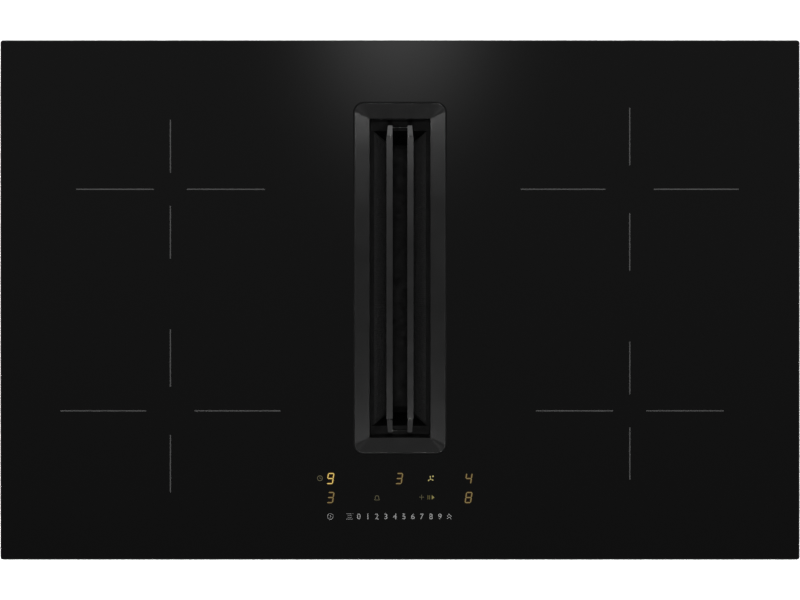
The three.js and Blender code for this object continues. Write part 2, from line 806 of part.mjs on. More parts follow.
function controlCarrier() {
  const half = controlWidth / 2;
  const bottom = casingTop - controlHeight;
  return cut(
    box(-half, half, controlFront, controlBack, bottom, casingTop),
    box(
      -half + controlWall, half - controlWall, controlFront + controlWall, controlBack - controlWall,
      bottom + controlWall, casingTop + 1));
}

const controlBoardX = controlWidth / 2 - controlWall - fit;
const controlBoardUnder = casingTop - lightGuideHeight - fit - controlBoardThickness;
const controlMiddleY = (controlFront + controlBack) / 2;

function controlBoard() {
  const y0 = controlFront + controlWall + fit;
  const y1 = controlBack - controlWall - fit;
  const foot = casingTop - controlHeight + controlWall + fit;
  const feet = [-1, 1].flatMap((sign) => [y0 + 5, y1 - 5].map((y) =>
    disc(3, foot, controlBoardUnder + 0.5, sign * (controlBoardX - 5), y, 10)));
  const slab = box(
    -controlBoardX, controlBoardX, y0, y1, controlBoardUnder, controlBoardUnder + controlBoardThickness);
  return join(slab, ...feet);
}

function lightGuide() {
  const outline = roundedRectangle(lightGuideWidth / 2, lightGuideDepth / 2, 3, 0, controlMiddleY);
  return prism(outline, casingTop - lightGuideHeight, casingTop);
}

function springClip(side, y) {
  const wall = casingOuterX + fit;
  const top = casingTop - clipDrop;
  const middle = top - clipHeight / 2;
  const points = [
    [wall, top], [wall + clipSheet, top], [casingOuterX + clipReach, middle],
    [wall + clipSheet, top - clipHeight], [wall, top - clipHeight],
    [casingOuterX + clipReach - clipSheet, middle]
  ].map(([x, z]) => [side * x, z]);
  return prismY(points, y - clipWidth / 2, y + clipWidth / 2);
}

const terminalBack = glassDepth / 2 - terminalBackInset;
const terminalTop = casingBottom - fit;
const terminalBottom = terminalTop - terminalHeight;
const glandZ = (terminalTop + terminalBottom) / 2;

// A round body along Y through (x, z), over a closed list of [radius, y] points.
function turnedY(profile, x, z, segments) {
  const points = [...profile, profile[0]].map(([radius, y]) => new THREE.Vector2(radius, y));
  const geometry = new THREE.LatheGeometry(points, segments);
  geometry.translate(x, 0, z);
  return solidOf(geometry);
}

function terminalBox() {
  const x0 = terminalX - terminalWidth / 2;
  const x1 = terminalX + terminalWidth / 2;
  const y0 = terminalBack - terminalDepth;
  const shell = box(x0, x1, y0, terminalBack, terminalBottom, terminalTop);
  const hollow = box(
    x0 + terminalWall, x1 - terminalWall, y0 + terminalWall, terminalBack - terminalWall,
    terminalBottom - 1, terminalTop - terminalWall);
  const hole = turnedY(
    [[0, terminalBack - 5], [glandBore / 2, terminalBack - 5], [glandBore / 2, terminalBack + 5],
      [0, terminalBack + 5]], terminalX, glandZ, 20);
  return cut(shell, hollow, hole);
}

function terminalCover() {
  const outline = roundedRectangle(
    terminalWidth / 2, terminalDepth / 2, 2, terminalX, terminalBack - terminalDepth / 2);
  return prism(outline, terminalBottom - fit - terminalWall, terminalBottom - fit);
}

function terminalBlock() {
  const y = terminalBack - terminalDepth / 2;
  const top = terminalTop - terminalWall - fit;
  const towers = Array.from({ length: 5 }, (_, i) => {
    const x = terminalX + (i - 2) * 16;
    return box(x - 6, x + 6, y - 10, y + 10, top - 18, top - 3);
  });
  return join(box(terminalX - 44, terminalX + 44, y - 14, y + 14, top - 5, top), ...towers);
}

function cableGland() {
  const start = terminalBack + fit;
  const outer = glandDiameter / 2;
  const bore = glandBore / 2;
  const flange = turnedY(
    [[bore, start], [outer, start], [outer, start + 4], [bore, start + 4]], terminalX, glandZ, 6);
  const dome = turnedY([
    [bore, start + 3], [outer - 2, start + 3], [outer - 2, start + glandLength - 6],
    [bore + 2, start + glandLength], [bore, start + glandLength]
  ], terminalX, glandZ, 20);
  return join(dome, flange);
}

add('control_carrier', controlCarrier(), 'blackPlastic');
add('control_board', controlBoard(), 'circuit');
add('display_light_guide', lightGuide(), 'whitePlastic');
for (const [word, side] of sides) {
  add(`spring_clip_front_${word}`, springClip(side, -clipSpacing / 2), 'galvanised');
  add(`spring_clip_rear_${word}`, springClip(side, clipSpacing / 2), 'galvanised');
}
add('terminal_box', terminalBox(), 'greyPlastic');
add('terminal_cover', terminalCover(), 'greyPlastic');
add('terminal_block', terminalBlock(), 'whitePlastic');
add('cable_gland', cableGland(), 'blackPlastic');

// -------------------------------------------------------------- fan module

const moduleX = (moduleLeft + moduleRight) / 2;
const moduleY = (moduleFront + moduleBack) / 2;
const moduleShape = (inset) => roundedRectangle(
  moduleWidth / 2 - inset, moduleDepth / 2 - inset, moduleRadius - inset, moduleX, moduleY);
const outletHole = box(
  mouthLeft - fit, mouthRight + fit, moduleBack - moduleWall - 1, moduleBack + 1,
  spigotUnder - fit, spigotTop + fit);

function moduleBase() {
  return cut(
    prism(moduleShape(0), 0, moduleSplit),
    prism(moduleShape(moduleWall), moduleFloor, moduleSplit + 1),
    outletHole);
}

function moduleCover() {
  const shaftHole = box(
    -shaftOuterX - fit, shaftOuterX + fit, intakeY - shaftOuterY - fit, intakeY + shaftOuterY + fit,
    moduleTop - moduleWall - 1, moduleTop + 1);
  return cut(
    prism(moduleShape(0), moduleSplit + fit, moduleTop),
    prism(moduleShape(moduleWall), moduleSplit - 1, moduleTop - moduleWall),
    outletHole, shaftHole);
}

// Outline of the scroll: a spiral that grows from the tongue to the outlet.
function scrollOutline(inset) {
  const turns = 24;
  const sweep = 360 - tongueAngle;
  const spiral = Array.from({ length: turns + 1 }, (_, i) => {
    const share = i / turns;
    const angle = THREE.MathUtils.degToRad(tongueAngle + sweep * share);
    const radius = scrollStart + (scrollEnd - scrollStart) * share - inset;
    return [scrollX + radius * Math.cos(angle), scrollY + radius * Math.sin(angle)];
  });
  return [[mouthLeft + inset, mouthY], ...spiral, [mouthRight - inset, mouthY]];
}

function scrollHousing() {
  const inner = scrollOutline(scrollWall);
  const mouth = box(
    mouthLeft + scrollWall, mouthRight - scrollWall, mouthY - 1, mouthY + 1, scrollFloor, scrollTop + 1);
  return cut(
    prism(scrollOutline(0), scrollUnder, scrollTop), prism(inner, scrollFloor, scrollTop + 1), mouth);
}

function scrollCover() {
  const bottom = scrollTop + fit;
  const top = bottom + scrollWall;
  const plate = cut(
    prism(scrollOutline(0), bottom, top),
    disc(eyeRadius + bellFlare / 2, bottom - 1, top + 1, scrollX, scrollY, 40));
  const outer = eyeRadius + bellFlare;
  const bell = turned([
    [eyeRadius, scrollTop - bellDrop], [eyeRadius + bellWall, scrollTop - bellDrop],
    [eyeRadius + bellWall, bottom], [outer, bottom], [outer, top + bellRise],
    [eyeRadius + 2 * bellWall, top + bellRise / 2], [eyeRadius, bottom]
  ], scrollX, scrollY, 40);
  return join(plate, bell);
}

function impeller() {
  const hub = motorRadius + fit;
  const cap = rotorTop + fit;
  const back = turned([
    [0, cap], [hub, cap], [hub, impellerBottom], [impellerRadius, impellerBottom],
    [impellerRadius, impellerBottom + impellerSheet], [hub + impellerSheet, impellerBottom + impellerSheet],
    [hub + impellerSheet, cap + impellerSheet], [0, cap + impellerSheet]
  ], 0, 0, 40);
  const ring = turned([
    [impellerInner, impellerTop - impellerSheet], [impellerRadius, impellerTop - impellerSheet],
    [impellerRadius, impellerTop], [impellerInner, impellerTop]
  ], 0, 0, 40);
  const blades = bladeRing(
    impellerBlades, impellerInner + 1, impellerRadius - 1, bladeThickness, bladeLean,
    impellerBottom + impellerSheet / 2, impellerTop - impellerSheet / 2);
  return join(back, ring, ...blades);
}

function motorRotor() {
  const inner = motorRadius - motorSheet;
  const shaft = motorShaft / 2;
  const capUnder = rotorTop - motorSheet;
  const shaftEnd = motorUnder + shaftLift;
  return turned([
    [0, shaftEnd], [shaft, shaftEnd], [shaft, capUnder], [inner, capUnder], [inner, rotorBottom],
    [motorRadius, rotorBottom], [motorRadius, rotorTop], [0, rotorTop]
  ]);
}

function motorStator() {
  const outer = motorRadius - motorSheet - runningGap;
  const bore = motorShaft / 2 + runningGap;
  const flange = motorRadius + motorFlangeReach;
  const flangeTop = motorUnder + motorFlange;
  const top = rotorTop - motorSheet - statorGap;
  return turned([
    [bore, motorUnder], [flange, motorUnder], [flange, flangeTop], [outer, flangeTop],
    [outer, top], [bore, top]
  ], scrollX, scrollY);
}

function outletSpigot() {
  const tube = box(mouthLeft, mouthRight, spigotStart, spigotEnd, spigotUnder, spigotTop);
  const flangeStart = moduleBack + fit;
  const flange = box(
    mouthLeft - spigotFlange, mouthRight + spigotFlange, flangeStart, flangeStart + spigotWall,
    spigotUnder - spigotFlangeBelow, spigotTop + spigotFlange);
  const hollow = box(
    mouthLeft + spigotWall, mouthRight - spigotWall, spigotStart - 1, spigotEnd + 1,
    spigotUnder + spigotWall, spigotTop - spigotWall);
  return cut(join(tube, flange), hollow);
}

// A round rod or tube along X through (y, z).
function rodX(radius, x0, x1, y, z, segments = 16) {
  const geometry = new THREE.CylinderGeometry(radius, radius, x1 - x0, segments);
  geometry.rotateZ(Math.PI / 2);
  geometry.translate((x0 + x1) / 2, y, z);
  return solidOf(geometry);
}

const flapLeft = mouthLeft + spigotWall + flapSideGap;
const flapRight = mouthRight - spigotWall - flapSideGap;

function flapPin() {
  return rodX(flapPinRadius, mouthLeft + spigotWall + fit, mouthRight - spigotWall - fit, flapY, flapZ);
}

function backdraftFlap() {
  const bottom = spigotUnder + spigotWall + flapTipGap;
  const half = flapThickness / 2;
  const leaf = box(flapLeft, flapRight, flapY - half, flapY + half, bottom, flapZ);
  const barrel = rodX(flapBarrel, flapLeft, flapRight, flapY, flapZ);
  return cut(join(leaf, barrel), rodX(flapPinRadius + fit, flapLeft - 1, flapRight + 1, flapY, flapZ));
}

function fanControlBox() {
  const bottom = moduleFloor + fit;
  const lip = bottom + fanBoxLipLevel;
  const halfX = fanBoxWidth / 2;
  const halfY = fanBoxDepth / 2;
  const y = moduleFront + moduleWall + fanBoxInset + halfY;
  const outline = (grow) => roundedRectangle(halfX + grow, halfY + grow, 3 + grow, fanBoxX + halfX, y);
  return join(
    prism(outline(0), bottom, bottom + fanBoxHeight), prism(outline(fanBoxLip), lip, lip + fanBoxLipHeight));
}

add('module_base', moduleBase(), 'blackPlastic');
add('module_cover', moduleCover(), 'blackPlastic');
add('scroll_housing', scrollHousing(), 'greyPlastic');
add('scroll_cover', scrollCover(), 'greyPlastic');
const wheel = new THREE.Group();
wheel.position.set(scrollX, scrollY, 0);
cooktop.add(wheel);
add('impeller', impeller(), 'blackPlastic', wheel);
add('motor_rotor', motorRotor(), 'galvanised', wheel);
add('motor_stator', motorStator(), 'copper');
add('outlet_spigot', outletSpigot(), 'greyPlastic');
add('flap_pin', flapPin(), 'galvanised');
add('backdraft_flap', backdraftFlap(), 'blackPlastic');
add('fan_control_box', fanControlBox(), 'greyPlastic');

export default cooktop;
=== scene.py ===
"""Looks of the downdraft induction cooktop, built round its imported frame.

Metres. X runs to the user's right, Y to the back, Z up. Lengths that are easier
to read in millimetres are written as a number times MM.
"""
import json
import math

import bmesh
import bpy
from mathutils import Matrix, Vector


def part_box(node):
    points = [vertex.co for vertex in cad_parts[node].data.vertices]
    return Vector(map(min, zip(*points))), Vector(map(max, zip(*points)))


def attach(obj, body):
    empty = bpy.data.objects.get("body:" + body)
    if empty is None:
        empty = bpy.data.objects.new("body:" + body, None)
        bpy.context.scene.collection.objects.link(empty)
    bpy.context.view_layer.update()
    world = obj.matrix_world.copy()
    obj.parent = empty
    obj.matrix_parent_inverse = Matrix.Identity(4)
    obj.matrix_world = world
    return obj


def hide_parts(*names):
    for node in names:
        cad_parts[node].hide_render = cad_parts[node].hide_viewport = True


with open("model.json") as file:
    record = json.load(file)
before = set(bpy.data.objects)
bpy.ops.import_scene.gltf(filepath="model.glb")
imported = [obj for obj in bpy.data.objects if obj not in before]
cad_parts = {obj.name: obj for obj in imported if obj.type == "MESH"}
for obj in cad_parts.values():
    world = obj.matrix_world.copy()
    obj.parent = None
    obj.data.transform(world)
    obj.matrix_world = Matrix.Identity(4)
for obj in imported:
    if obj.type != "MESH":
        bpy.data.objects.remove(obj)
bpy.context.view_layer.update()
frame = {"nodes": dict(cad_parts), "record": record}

nodes = frame["nodes"]
scene = bpy.context.scene
MM = 0.001

# ------------------------------------------------------------ places and sizes

bezel_low, bezel_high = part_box("intake_bezel")
grille_low, grille_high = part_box("cover_grille")
GLASS_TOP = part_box("glass_plate")[1].z
INTAKE_Y = (bezel_low.y + bezel_high.y) / 2

PRINT_THICKNESS = 0.03 * MM
GLOW_THICKNESS = 0.015 * MM

# How finely shapes are merged, smoothed and rounded. Angles are in degrees.
MERGE_DISTANCE = 1e-7
WELD_DISTANCE = 0.002 * MM
PLANAR_ANGLE = 0.3
SMOOTH_ANGLE = 28
BEVEL_ANGLE = 35
CAP_POINTS = 5
PROFILE_STEPS = 4


# ------------------------------------------------------------------- geometry

def mesh_from(bm, name, smooth_angle=None):
    """Turns a bmesh into a mesh, smooth where faces meet at less than an angle in degrees."""
    bmesh.ops.recalc_face_normals(bm, faces=bm.faces[:])
    if smooth_angle is not None:
        limit = math.radians(smooth_angle)
        for face in bm.faces:
            face.smooth = True
        for edge in bm.edges:
            edge.smooth = edge.calc_face_angle(0) < limit
    mesh = bpy.data.meshes.new(name)
    bm.to_mesh(mesh)
    bm.free()
    return mesh


def piece(name, mesh, slot, body="root", material=None, stands_for=()):
    """A new visible piece that rides on a body, with the finish named by its slot unless a material
    is given.
    """
    obj = bpy.data.objects.new(name, mesh)
    scene.collection.objects.link(obj)
    mesh.materials.clear()
    mesh.materials.append(material or finishes[slot])
    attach(obj, body)
    if stands_for:
        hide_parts(*stands_for)
    return obj


def bevel(obj, width, segments=2):
    modifier = obj.modifiers.new("edge", "BEVEL")
    modifier.width = width
    modifier.segments = segments
    modifier.limit_method = "ANGLE"
    modifier.angle_limit = math.radians(BEVEL_ANGLE)
    modifier.harden_normals = True


def soften(node, width):
    """Rounds the edges of a CAD node, whose mesh arrives as loose flat triangles."""
    obj = nodes[node]
    weld = obj.modifiers.new("weld", "WELD")
    weld.merge_threshold = WELD_DISTANCE
    planar = obj.modifiers.new("planar", "DECIMATE")
    planar.decimate_type = "DISSOLVE"
    planar.angle_limit = math.radians(PLANAR_ANGLE)
    smooth = obj.modifiers.new("smooth", "NODES")
    smooth.node_group = smooth_group
    if width:
        bevel(obj, width)


def smooth_by_angle():
    """Geometry nodes that shade a mesh smooth, apart from its sharp edges."""
    group = bpy.data.node_groups.new("smooth_by_angle", "GeometryNodeTree")
    group.interface.new_socket("Geometry", in_out="INPUT", socket_type="NodeSocketGeometry")
    group.interface.new_socket("Geometry", in_out="OUTPUT", socket_type="NodeSocketGeometry")
    make = group.nodes.new
    link = group.links.new
    start = make("NodeGroupInput")
    end = make("NodeGroupOutput")
    faces = make("GeometryNodeSetShadeSmooth")
    faces.domain = "FACE"
    edges = make("GeometryNodeSetShadeSmooth")
    edges.domain = "EDGE"
    edges.inputs["Shade Smooth"].default_value = False
    angle = make("GeometryNodeInputMeshEdgeAngle")
    sharper = make("FunctionNodeCompare")
    sharper.operation = "GREATER_THAN"
    sharper.inputs["B"].default_value = math.radians(SMOOTH_ANGLE)
    link(start.outputs[0], faces.inputs["Geometry"])
    link(faces.outputs[0], edges.inputs["Geometry"])
    link(angle.outputs["Unsigned Angle"], sharper.inputs["A"])
    link(sharper.outputs[0], edges.inputs["Selection"])
    link(edges.outputs[0], end.inputs[0])
    return group


smooth_group = smooth_by_angle()


def plate(loops, thickness, base=GLASS_TOP):
    """A flat closed plate over closed loops of (x, y) points. A loop inside another is a hole."""
    curve = bpy.data.curves.new("plate", "CURVE")
    curve.dimensions = "2D"
    curve.fill_mode = "BOTH"
    curve.extrude = thickness / 2
    for loop in loops:
        spline = curve.splines.new("POLY")
        spline.points.add(len(loop) - 1)
        for point, (x, y) in zip(spline.points, loop):
            point.co = (x, y, 0, 1)
        spline.use_cyclic_u = True
    return mesh_of_curve(curve, (0, 0, base + thickness / 2))


def mesh_of_curve(curve, offset, scale=1.0):
    """The closed mesh of a filled curve or text, which is then removed."""
    holder = bpy.data.objects.new("holder", curve)
    scene.collection.objects.link(holder)
    bpy.context.view_layer.update()
    shape = holder.evaluated_get(bpy.context.evaluated_depsgraph_get())
    bm = bmesh.new()
    bm.from_mesh(shape.to_mesh())
    shape.to_mesh_clear()
    bpy.data.objects.remove(holder)
    bpy.data.curves.remove(curve)
    bmesh.ops.remove_doubles(bm, verts=bm.verts[:], dist=MERGE_DISTANCE)
    for vertex in bm.verts:
        vertex.co.x *= scale
        vertex.co.y *= scale
        vertex.co += Vector(offset)
    return mesh_from(bm, "plate")


def at(x, y, points):
    """Points in millimetres round a centre, as places on the glass."""
    return [((x + px) * MM, (y + py) * MM) for px, py in points]


def arc(radius, start, stop, count, x, y):
    """Points round a centre from one turn to another, in degrees."""
    turns = [math.radians(start + (stop - start) * i / count) for i in range(count + 1)]
    return [(x + radius * math.cos(a), y + radius * math.sin(a)) for a in turns]


def circle(x, y, radius, count=32):
    turns = [2 * math.pi * i / count for i in range(count)]
    return [(x + radius * math.cos(a), y + radius * math.sin(a)) for a in turns]


def ring(x, y, outer, width):
    return [circle(x, y, outer), circle(x, y, outer - width)]


def stroke(points, width):
    """The outline of an even line through (x, y) points, with round ends."""
    left = []
    right = []
    for i, (x, y) in enumerate(points):
        before = points[max(i - 1, 0)]
        after = points[min(i + 1, len(points) - 1)]
        dx = after[0] - before[0]
        dy = after[1] - before[1]
        length = math.hypot(dx, dy)
        nx = -dy / length * width / 2
        ny = dx / length * width / 2
        left.append((x + nx, y + ny))
        right.append((x - nx, y - ny))
    start_cap = cap(points[1], points[0], width)
    end_cap = cap(points[-2], points[-1], width)
    return left + end_cap + right[::-1] + start_cap


def strokes(x, y, width, *paths):
    """Outlines of even lines through points in millimetres round a centre."""
    return [stroke(at(x, y, path), width) for path in paths]


def cap(before, end, width):
    """Points of a half circle round the end of a line, without its two corners."""
    heading = math.atan2(end[1] - before[1], end[0] - before[0])
    steps = CAP_POINTS + 1
    turns = [heading + math.pi / 2 - math.pi * i / steps for i in range(1, steps)]
    return [(end[0] + width / 2 * math.cos(a), end[1] + width / 2 * math.sin(a)) for a in turns]


def rounded_ring(half_x, half_y, radius, count):
    """Points round a rectangle with round corners, count steps to a corner."""
    points = []
    for quarter, (sx, sy) in enumerate([(1, 1), (-1, 1), (-1, -1), (1, -1)]):
        for i in range(count + 1):
            turn = (quarter + i / count) * math.pi / 2
            points.append((
                sx * (half_x - radius) + radius * math.cos(turn),
                sy * (half_y - radius) + radius * math.sin(turn)))
    return points


def loft(rings, closed=True):
    """A bmesh through rings of 3-D points. Closed, the last ring joins the first."""
    bm = bmesh.new()
    rows = [[bm.verts.new(point) for point in points] for points in rings]
    pairs = list(zip(rows, rows[1:])) + ([(rows[-1], rows[0])] if closed else [])
    for low, high in pairs:
        for i in range(len(low)):
            j = (i + 1) % len(low)
            bm.faces.new((low[i], low[j], high[j], high[i]))
    if not closed:
        bm.faces.new(rows[0])
        bm.faces.new(rows[-1])
    return bm


def rounded_profile(points, radii):
    """A closed outline with each corner rounded by its own radius."""
    result = []
    for i, point in enumerate(points):
        corner = Vector(point)
        before = Vector(points[i - 1]) - corner
        after = Vector(points[(i + 1) % len(points)]) - corner
        radius = radii[i]
        if not radius:
            result.append(tuple(corner))
            continue
        half = before.angle(after) / 2
        reach = radius / math.tan(half)
        start = corner + before.normalized() * reach
        end = corner + after.normalized() * reach
        for k in range(PROFILE_STEPS + 1):
            t = k / PROFILE_STEPS
            result.append(tuple(start * (1 - t) ** 2 + corner * 2 * t * (1 - t) + end * t ** 2))
    return result


# ------------------------------------------------------------------ materials

def grey(value):
    return (value, value, value)


class Finish:
    """A material with a few helpers to build its nodes."""

    def __init__(self, name, color, roughness, metallic=0.0, **sockets):
        self.material = bpy.data.materials.new(name)
        self.material.use_nodes = True
        self.tree = self.material.node_tree
        self.shader = self.tree.nodes["Principled BSDF"]
        self.set("Base Color", (*color, 1))
        self.set("Roughness", roughness)
        self.set("Metallic", metallic)
        for socket, value in sockets.items():
            self.set(socket.replace("_", " "), value)

    def set(self, socket, value):
        self.shader.inputs[socket].default_value = value

    def node(self, kind, **inputs):
        made = self.tree.nodes.new(kind)
        for socket, value in inputs.items():
            target = made.inputs[socket.replace("_", " ")]
            if isinstance(value, bpy.types.NodeSocket):
                self.tree.links.new(value, target)
            else:
                target.default_value = value
        return made

    def place(self, stretch=(1, 1, 1)):
        """Object coordinates in metres, stretched along each axis."""
        place = self.node("ShaderNodeTexCoord").outputs["Object"]
        return self.node("ShaderNodeMapping", Vector=place, Scale=stretch).outputs[0]

    def noise(self, scale, detail=3, stretch=(1, 1, 1), distortion=0.0):
        return self.node(
            "ShaderNodeTexNoise", Vector=self.place(stretch), Scale=scale, Detail=detail,
            Roughness=0.55, Distortion=distortion).outputs["Fac"]

    def cells(self, scale, feature="F1"):
        made = self.node("ShaderNodeTexVoronoi", Vector=self.place(), Scale=scale)
        made.feature = feature
        return made

    def spread(self, value, low, high, start=0.3, stop=0.7):
        """Maps the middle of a texture's range to low and high."""
        made = self.node(
            "ShaderNodeMapRange", Value=value,
            From_Min=start, From_Max=stop, To_Min=low, To_Max=high)
        return made.outputs[0]

    def blend_colors(self, factor, first, second):
        ramp = self.node("ShaderNodeValToRGB", Fac=factor)
        ramp.color_ramp.elements[0].color = (*first, 1)
        ramp.color_ramp.elements[1].color = (*second, 1)
        return ramp.outputs["Color"]

    def join(self, output, socket):
        self.tree.links.new(output, self.shader.inputs[socket])

    def bump(self, height, distance, strength):
        made = self.node("ShaderNodeBump", Height=height, Distance=distance, Strength=strength)
        self.join(made.outputs[0], "Normal")

    def color(self, factor, first, second):
        self.join(self.blend_colors(factor, first, second), "Base Color")

    def rough(self, low, high, scale, **noise):
        self.join(self.spread(self.noise(scale, **noise), low, high), "Roughness")

    def tint(self, first, second, scale, **noise):
        self.color(self.spread(self.noise(scale, **noise), 0, 1), first, second)


def black_glass():
    """Near-black glass-ceramic: polished, with the faintest wipe marks."""
    finish = Finish("black_glass", grey(0.001), 0.04, IOR=1.5)
    finish.rough(0.018, 0.032, 9, detail=5, stretch=(1, 2.2, 1), distortion=0.6)
    finish.tint(grey(0.0008), grey(0.0012), 140)
    return finish.material


def black_metal(name, low, high, shade=0.006):
    """Satin black coating with a fine orange peel."""
    finish = Finish(name, grey(shade), high, IOR=1.5)
    finish.tint(grey(shade), grey(1.4 * shade), 60)
    finish.rough(low, high, 35, detail=4)
    finish.bump(finish.noise(2600, detail=2), 0.012 * MM, 0.25)
    return finish.material


def gasket_rubber():
    """Dull black rubber."""
    finish = Finish("gasket_rubber", grey(0.004), 0.75, Specular_IOR_Level=0.1)
    finish.tint(grey(0.003), grey(0.0055), 300)
    finish.rough(0.68, 0.85, 120)
    finish.bump(finish.noise(1800), 0.02 * MM, 0.6)
    return finish.material


def foam_seal():
    """Closed-cell foam: small pits all over."""
    finish = Finish("foam_seal", grey(0.012), 0.92)
    pits = finish.cells(900).outputs["Distance"]
    finish.color(finish.spread(pits, 0, 1, 0.1, 0.6), grey(0.005), grey(0.018))
    finish.bump(pits, 0.25 * MM, 0.7)
    return finish.material


def filter_steel():
    """Dark stainless steel with a grain along Y, uneven in shade and gloss."""
    finish = Finish("filter_steel", grey(0.04), 0.42, 0.7)
    finish.tint(grey(0.011), grey(0.061), 700, detail=2)
    finish.rough(0.34, 0.58, 260)
    finish.bump(finish.noise(900, stretch=(1, 0.06, 1)), 0.02 * MM, 0.4)
    return finish.material


def galvanised():
    """Zinc spangle: flat crystals of slightly different grey, each with its own sheen."""
    finish = Finish("galvanised", (0.5, 0.52, 0.53), 0.4, 0.92)
    cells = finish.cells(105)
    shade = finish.node("ShaderNodeSeparateColor", Color=cells.outputs["Color"]).outputs[0]
    mottle = finish.noise(420, detail=4)
    mixed = finish.node("ShaderNodeMath")
    mixed.operation = "MULTIPLY_ADD"
    finish.tree.links.new(shade, mixed.inputs[0])
    mixed.inputs[1].default_value = 0.65
    finish.tree.links.new(mottle, mixed.inputs[2])
    value = finish.spread(mixed.outputs[0], 0, 1, 0.35, 1.15)
    finish.color(value, (0.36, 0.38, 0.395), (0.60, 0.615, 0.62))
    finish.join(finish.spread(value, 0.30, 0.50, 0, 1), "Roughness")
    finish.bump(value, 0.01 * MM, 0.35)
    return finish.material


def aluminium():
    """Brushed, with a fine grain along Y."""
    finish = Finish("aluminium", (0.74, 0.75, 0.76), 0.35, 0.95)
    lines = finish.noise(1100, detail=4, stretch=(1, 0.04, 1))
    finish.color(finish.spread(lines, 0, 1), (0.55, 0.56, 0.57), (0.74, 0.75, 0.76))
    finish.join(finish.spread(lines, 0.28, 0.44), "Roughness")
    finish.bump(lines, 0.01 * MM, 0.4)
    return finish.material


def moulded(name, dark, light, low=0.45, high=0.6, texture=0.05):
    """Moulded plastic with a fine spark-eroded texture."""
    finish = Finish(name, light, (low + high) / 2)
    finish.tint(dark, light, 45, detail=5)
    finish.rough(low, high, 90, detail=4)
    finish.bump(finish.noise(1500), texture * MM, 0.5)
    return finish.material


def copper():
    """Enamelled copper wire, uneven in shade, with fine ridges for its strands."""
    finish = Finish("copper", (0.55, 0.24, 0.11), 0.35, 0.9, Coat_Weight=0.5, Coat_Roughness=0.2)
    finish.tint((0.42, 0.17, 0.075), (0.62, 0.29, 0.14), 500)
    finish.bump(finish.noise(1700, detail=2), 0.08 * MM, 0.6)
    return finish.material


def circuit():
    """Green solder mask over faint copper tracks."""
    finish = Finish("circuit", (0.02, 0.12, 0.045), 0.35)
    tracks = finish.cells(160, "DISTANCE_TO_EDGE").outputs["Distance"]
    finish.color(finish.spread(tracks, 0, 1, 0.02, 0.12), (0.03, 0.17, 0.07), (0.012, 0.085, 0.03))
    finish.rough(0.28, 0.42, 200)
    finish.bump(tracks, 0.03 * MM, 0.3)
    return finish.material


def print_enamel(name, dark, light):
    """Grey enamel fired on the glass, a little uneven."""
    finish = Finish(name, light, 0.5, Specular_IOR_Level=0.12)
    finish.tint(dark, light, 900, detail=2)
    finish.rough(0.42, 0.6, 500)
    return finish.material


def amber(name, color, strength):
    """Lit segment or symbol of the display: amber light, a little uneven."""
    finish = Finish(name, (0.003, 0.002, 0.001), 0.6, Specular_IOR_Level=0.05)
    finish.set("Emission Strength", strength)
    uneven = finish.spread(finish.noise(500, detail=1), 0, 1, 0.25, 0.75)
    dimmer = tuple(0.86 * c for c in color)
    finish.join(finish.blend_colors(uneven, dimmer, color), "Emission Color")
    return finish.material


def blackened_steel():
    """Steel of the filter's frame, with a faint grain. Its near-black tint is painted shade for the
    dark depths of the intake.
    """
    finish = Finish("blackened_steel", grey(0.002), 0.6, Specular_IOR_Level=0.035)
    finish.tint(grey(0.0006), grey(0.003), 220, detail=4)
    finish.rough(0.5, 0.7, 120)
    finish.bump(finish.noise(1300), 0.02 * MM, 0.5)
    return finish.material


finishes = {
    "black_glass": black_glass(),
    "foam_seal": foam_seal(),
    "black_metal": black_metal("black_metal", 0.225, 0.27),
    "gasket_rubber": gasket_rubber(),
    "filter_steel": filter_steel(),
    "galvanised": galvanised(),
    "aluminium": aluminium(),
    "black_plastic": moulded("black_plastic", (0.014, 0.014, 0.015), (0.024, 0.024, 0.026)),
    "grey_plastic": moulded("grey_plastic", (0.124, 0.129, 0.134), (0.146, 0.152, 0.157)),
    "white_plastic": moulded(
        "white_plastic", (0.60, 0.59, 0.55), (0.72, 0.71, 0.67), 0.4, 0.52, 0.02),
    "copper": copper(),
    "circuit": circuit(),
    "grey_print": print_enamel("grey_print", grey(0.029), grey(0.039)),
}
bar_coating = black_metal("bar_coating", 0.13, 0.155, 0.0035)
# Near-black steel: painted shade for the depths of the intake.
painted_shade_steel = blackened_steel()
scale_print = print_enamel("scale_print", grey(0.16), grey(0.205))
faint_print = print_enamel("faint_print", grey(0.13), grey(0.165))
amber_levels = {
    "bright": amber("amber_bright", (1.0, 0.75, 0.21), 0.94),
    "dim": amber("amber_dim", (1.0, 0.79, 0.31), 0.27),
    "faint": amber("amber_faint", (1.0, 0.91, 0.5), 0.12),
    "symbol": amber("amber_symbol", (1.0, 0.87, 0.33), 0.47),
    "arrow": amber("amber_arrow", (1.0, 0.87, 0.3), 0.24),
    "bars": amber("amber_bars", (1.0, 0.87, 0.3), 0.11),
}
fringes = {
    "bright": amber("fringe_bright", (1.0, 0.34, 0.0), 0.07),
    "dim": amber("fringe_dim", (1.0, 0.34, 0.0), 0.032),
}


# ------------------------------------------------- camera, light and the floor

CAMERA_LENS = 135
CAMERA_SENSOR = 36
VIEW_WIDTH = 0.8003
CAMERA_HEIGHT = VIEW_WIDTH * CAMERA_LENS / CAMERA_SENSOR


def add_camera():
    """Straight above the glass, far enough back for the photo's flat plan view."""
    camera = bpy.data.cameras.new("camera")
    camera.lens = CAMERA_LENS
    camera.sensor_width = CAMERA_SENSOR
    camera.clip_end = 50
    obj = bpy.data.objects.new("camera", camera)
    obj.location = (0, 0, GLASS_TOP + CAMERA_HEIGHT)
    scene.collection.objects.link(obj)
    scene.camera = obj


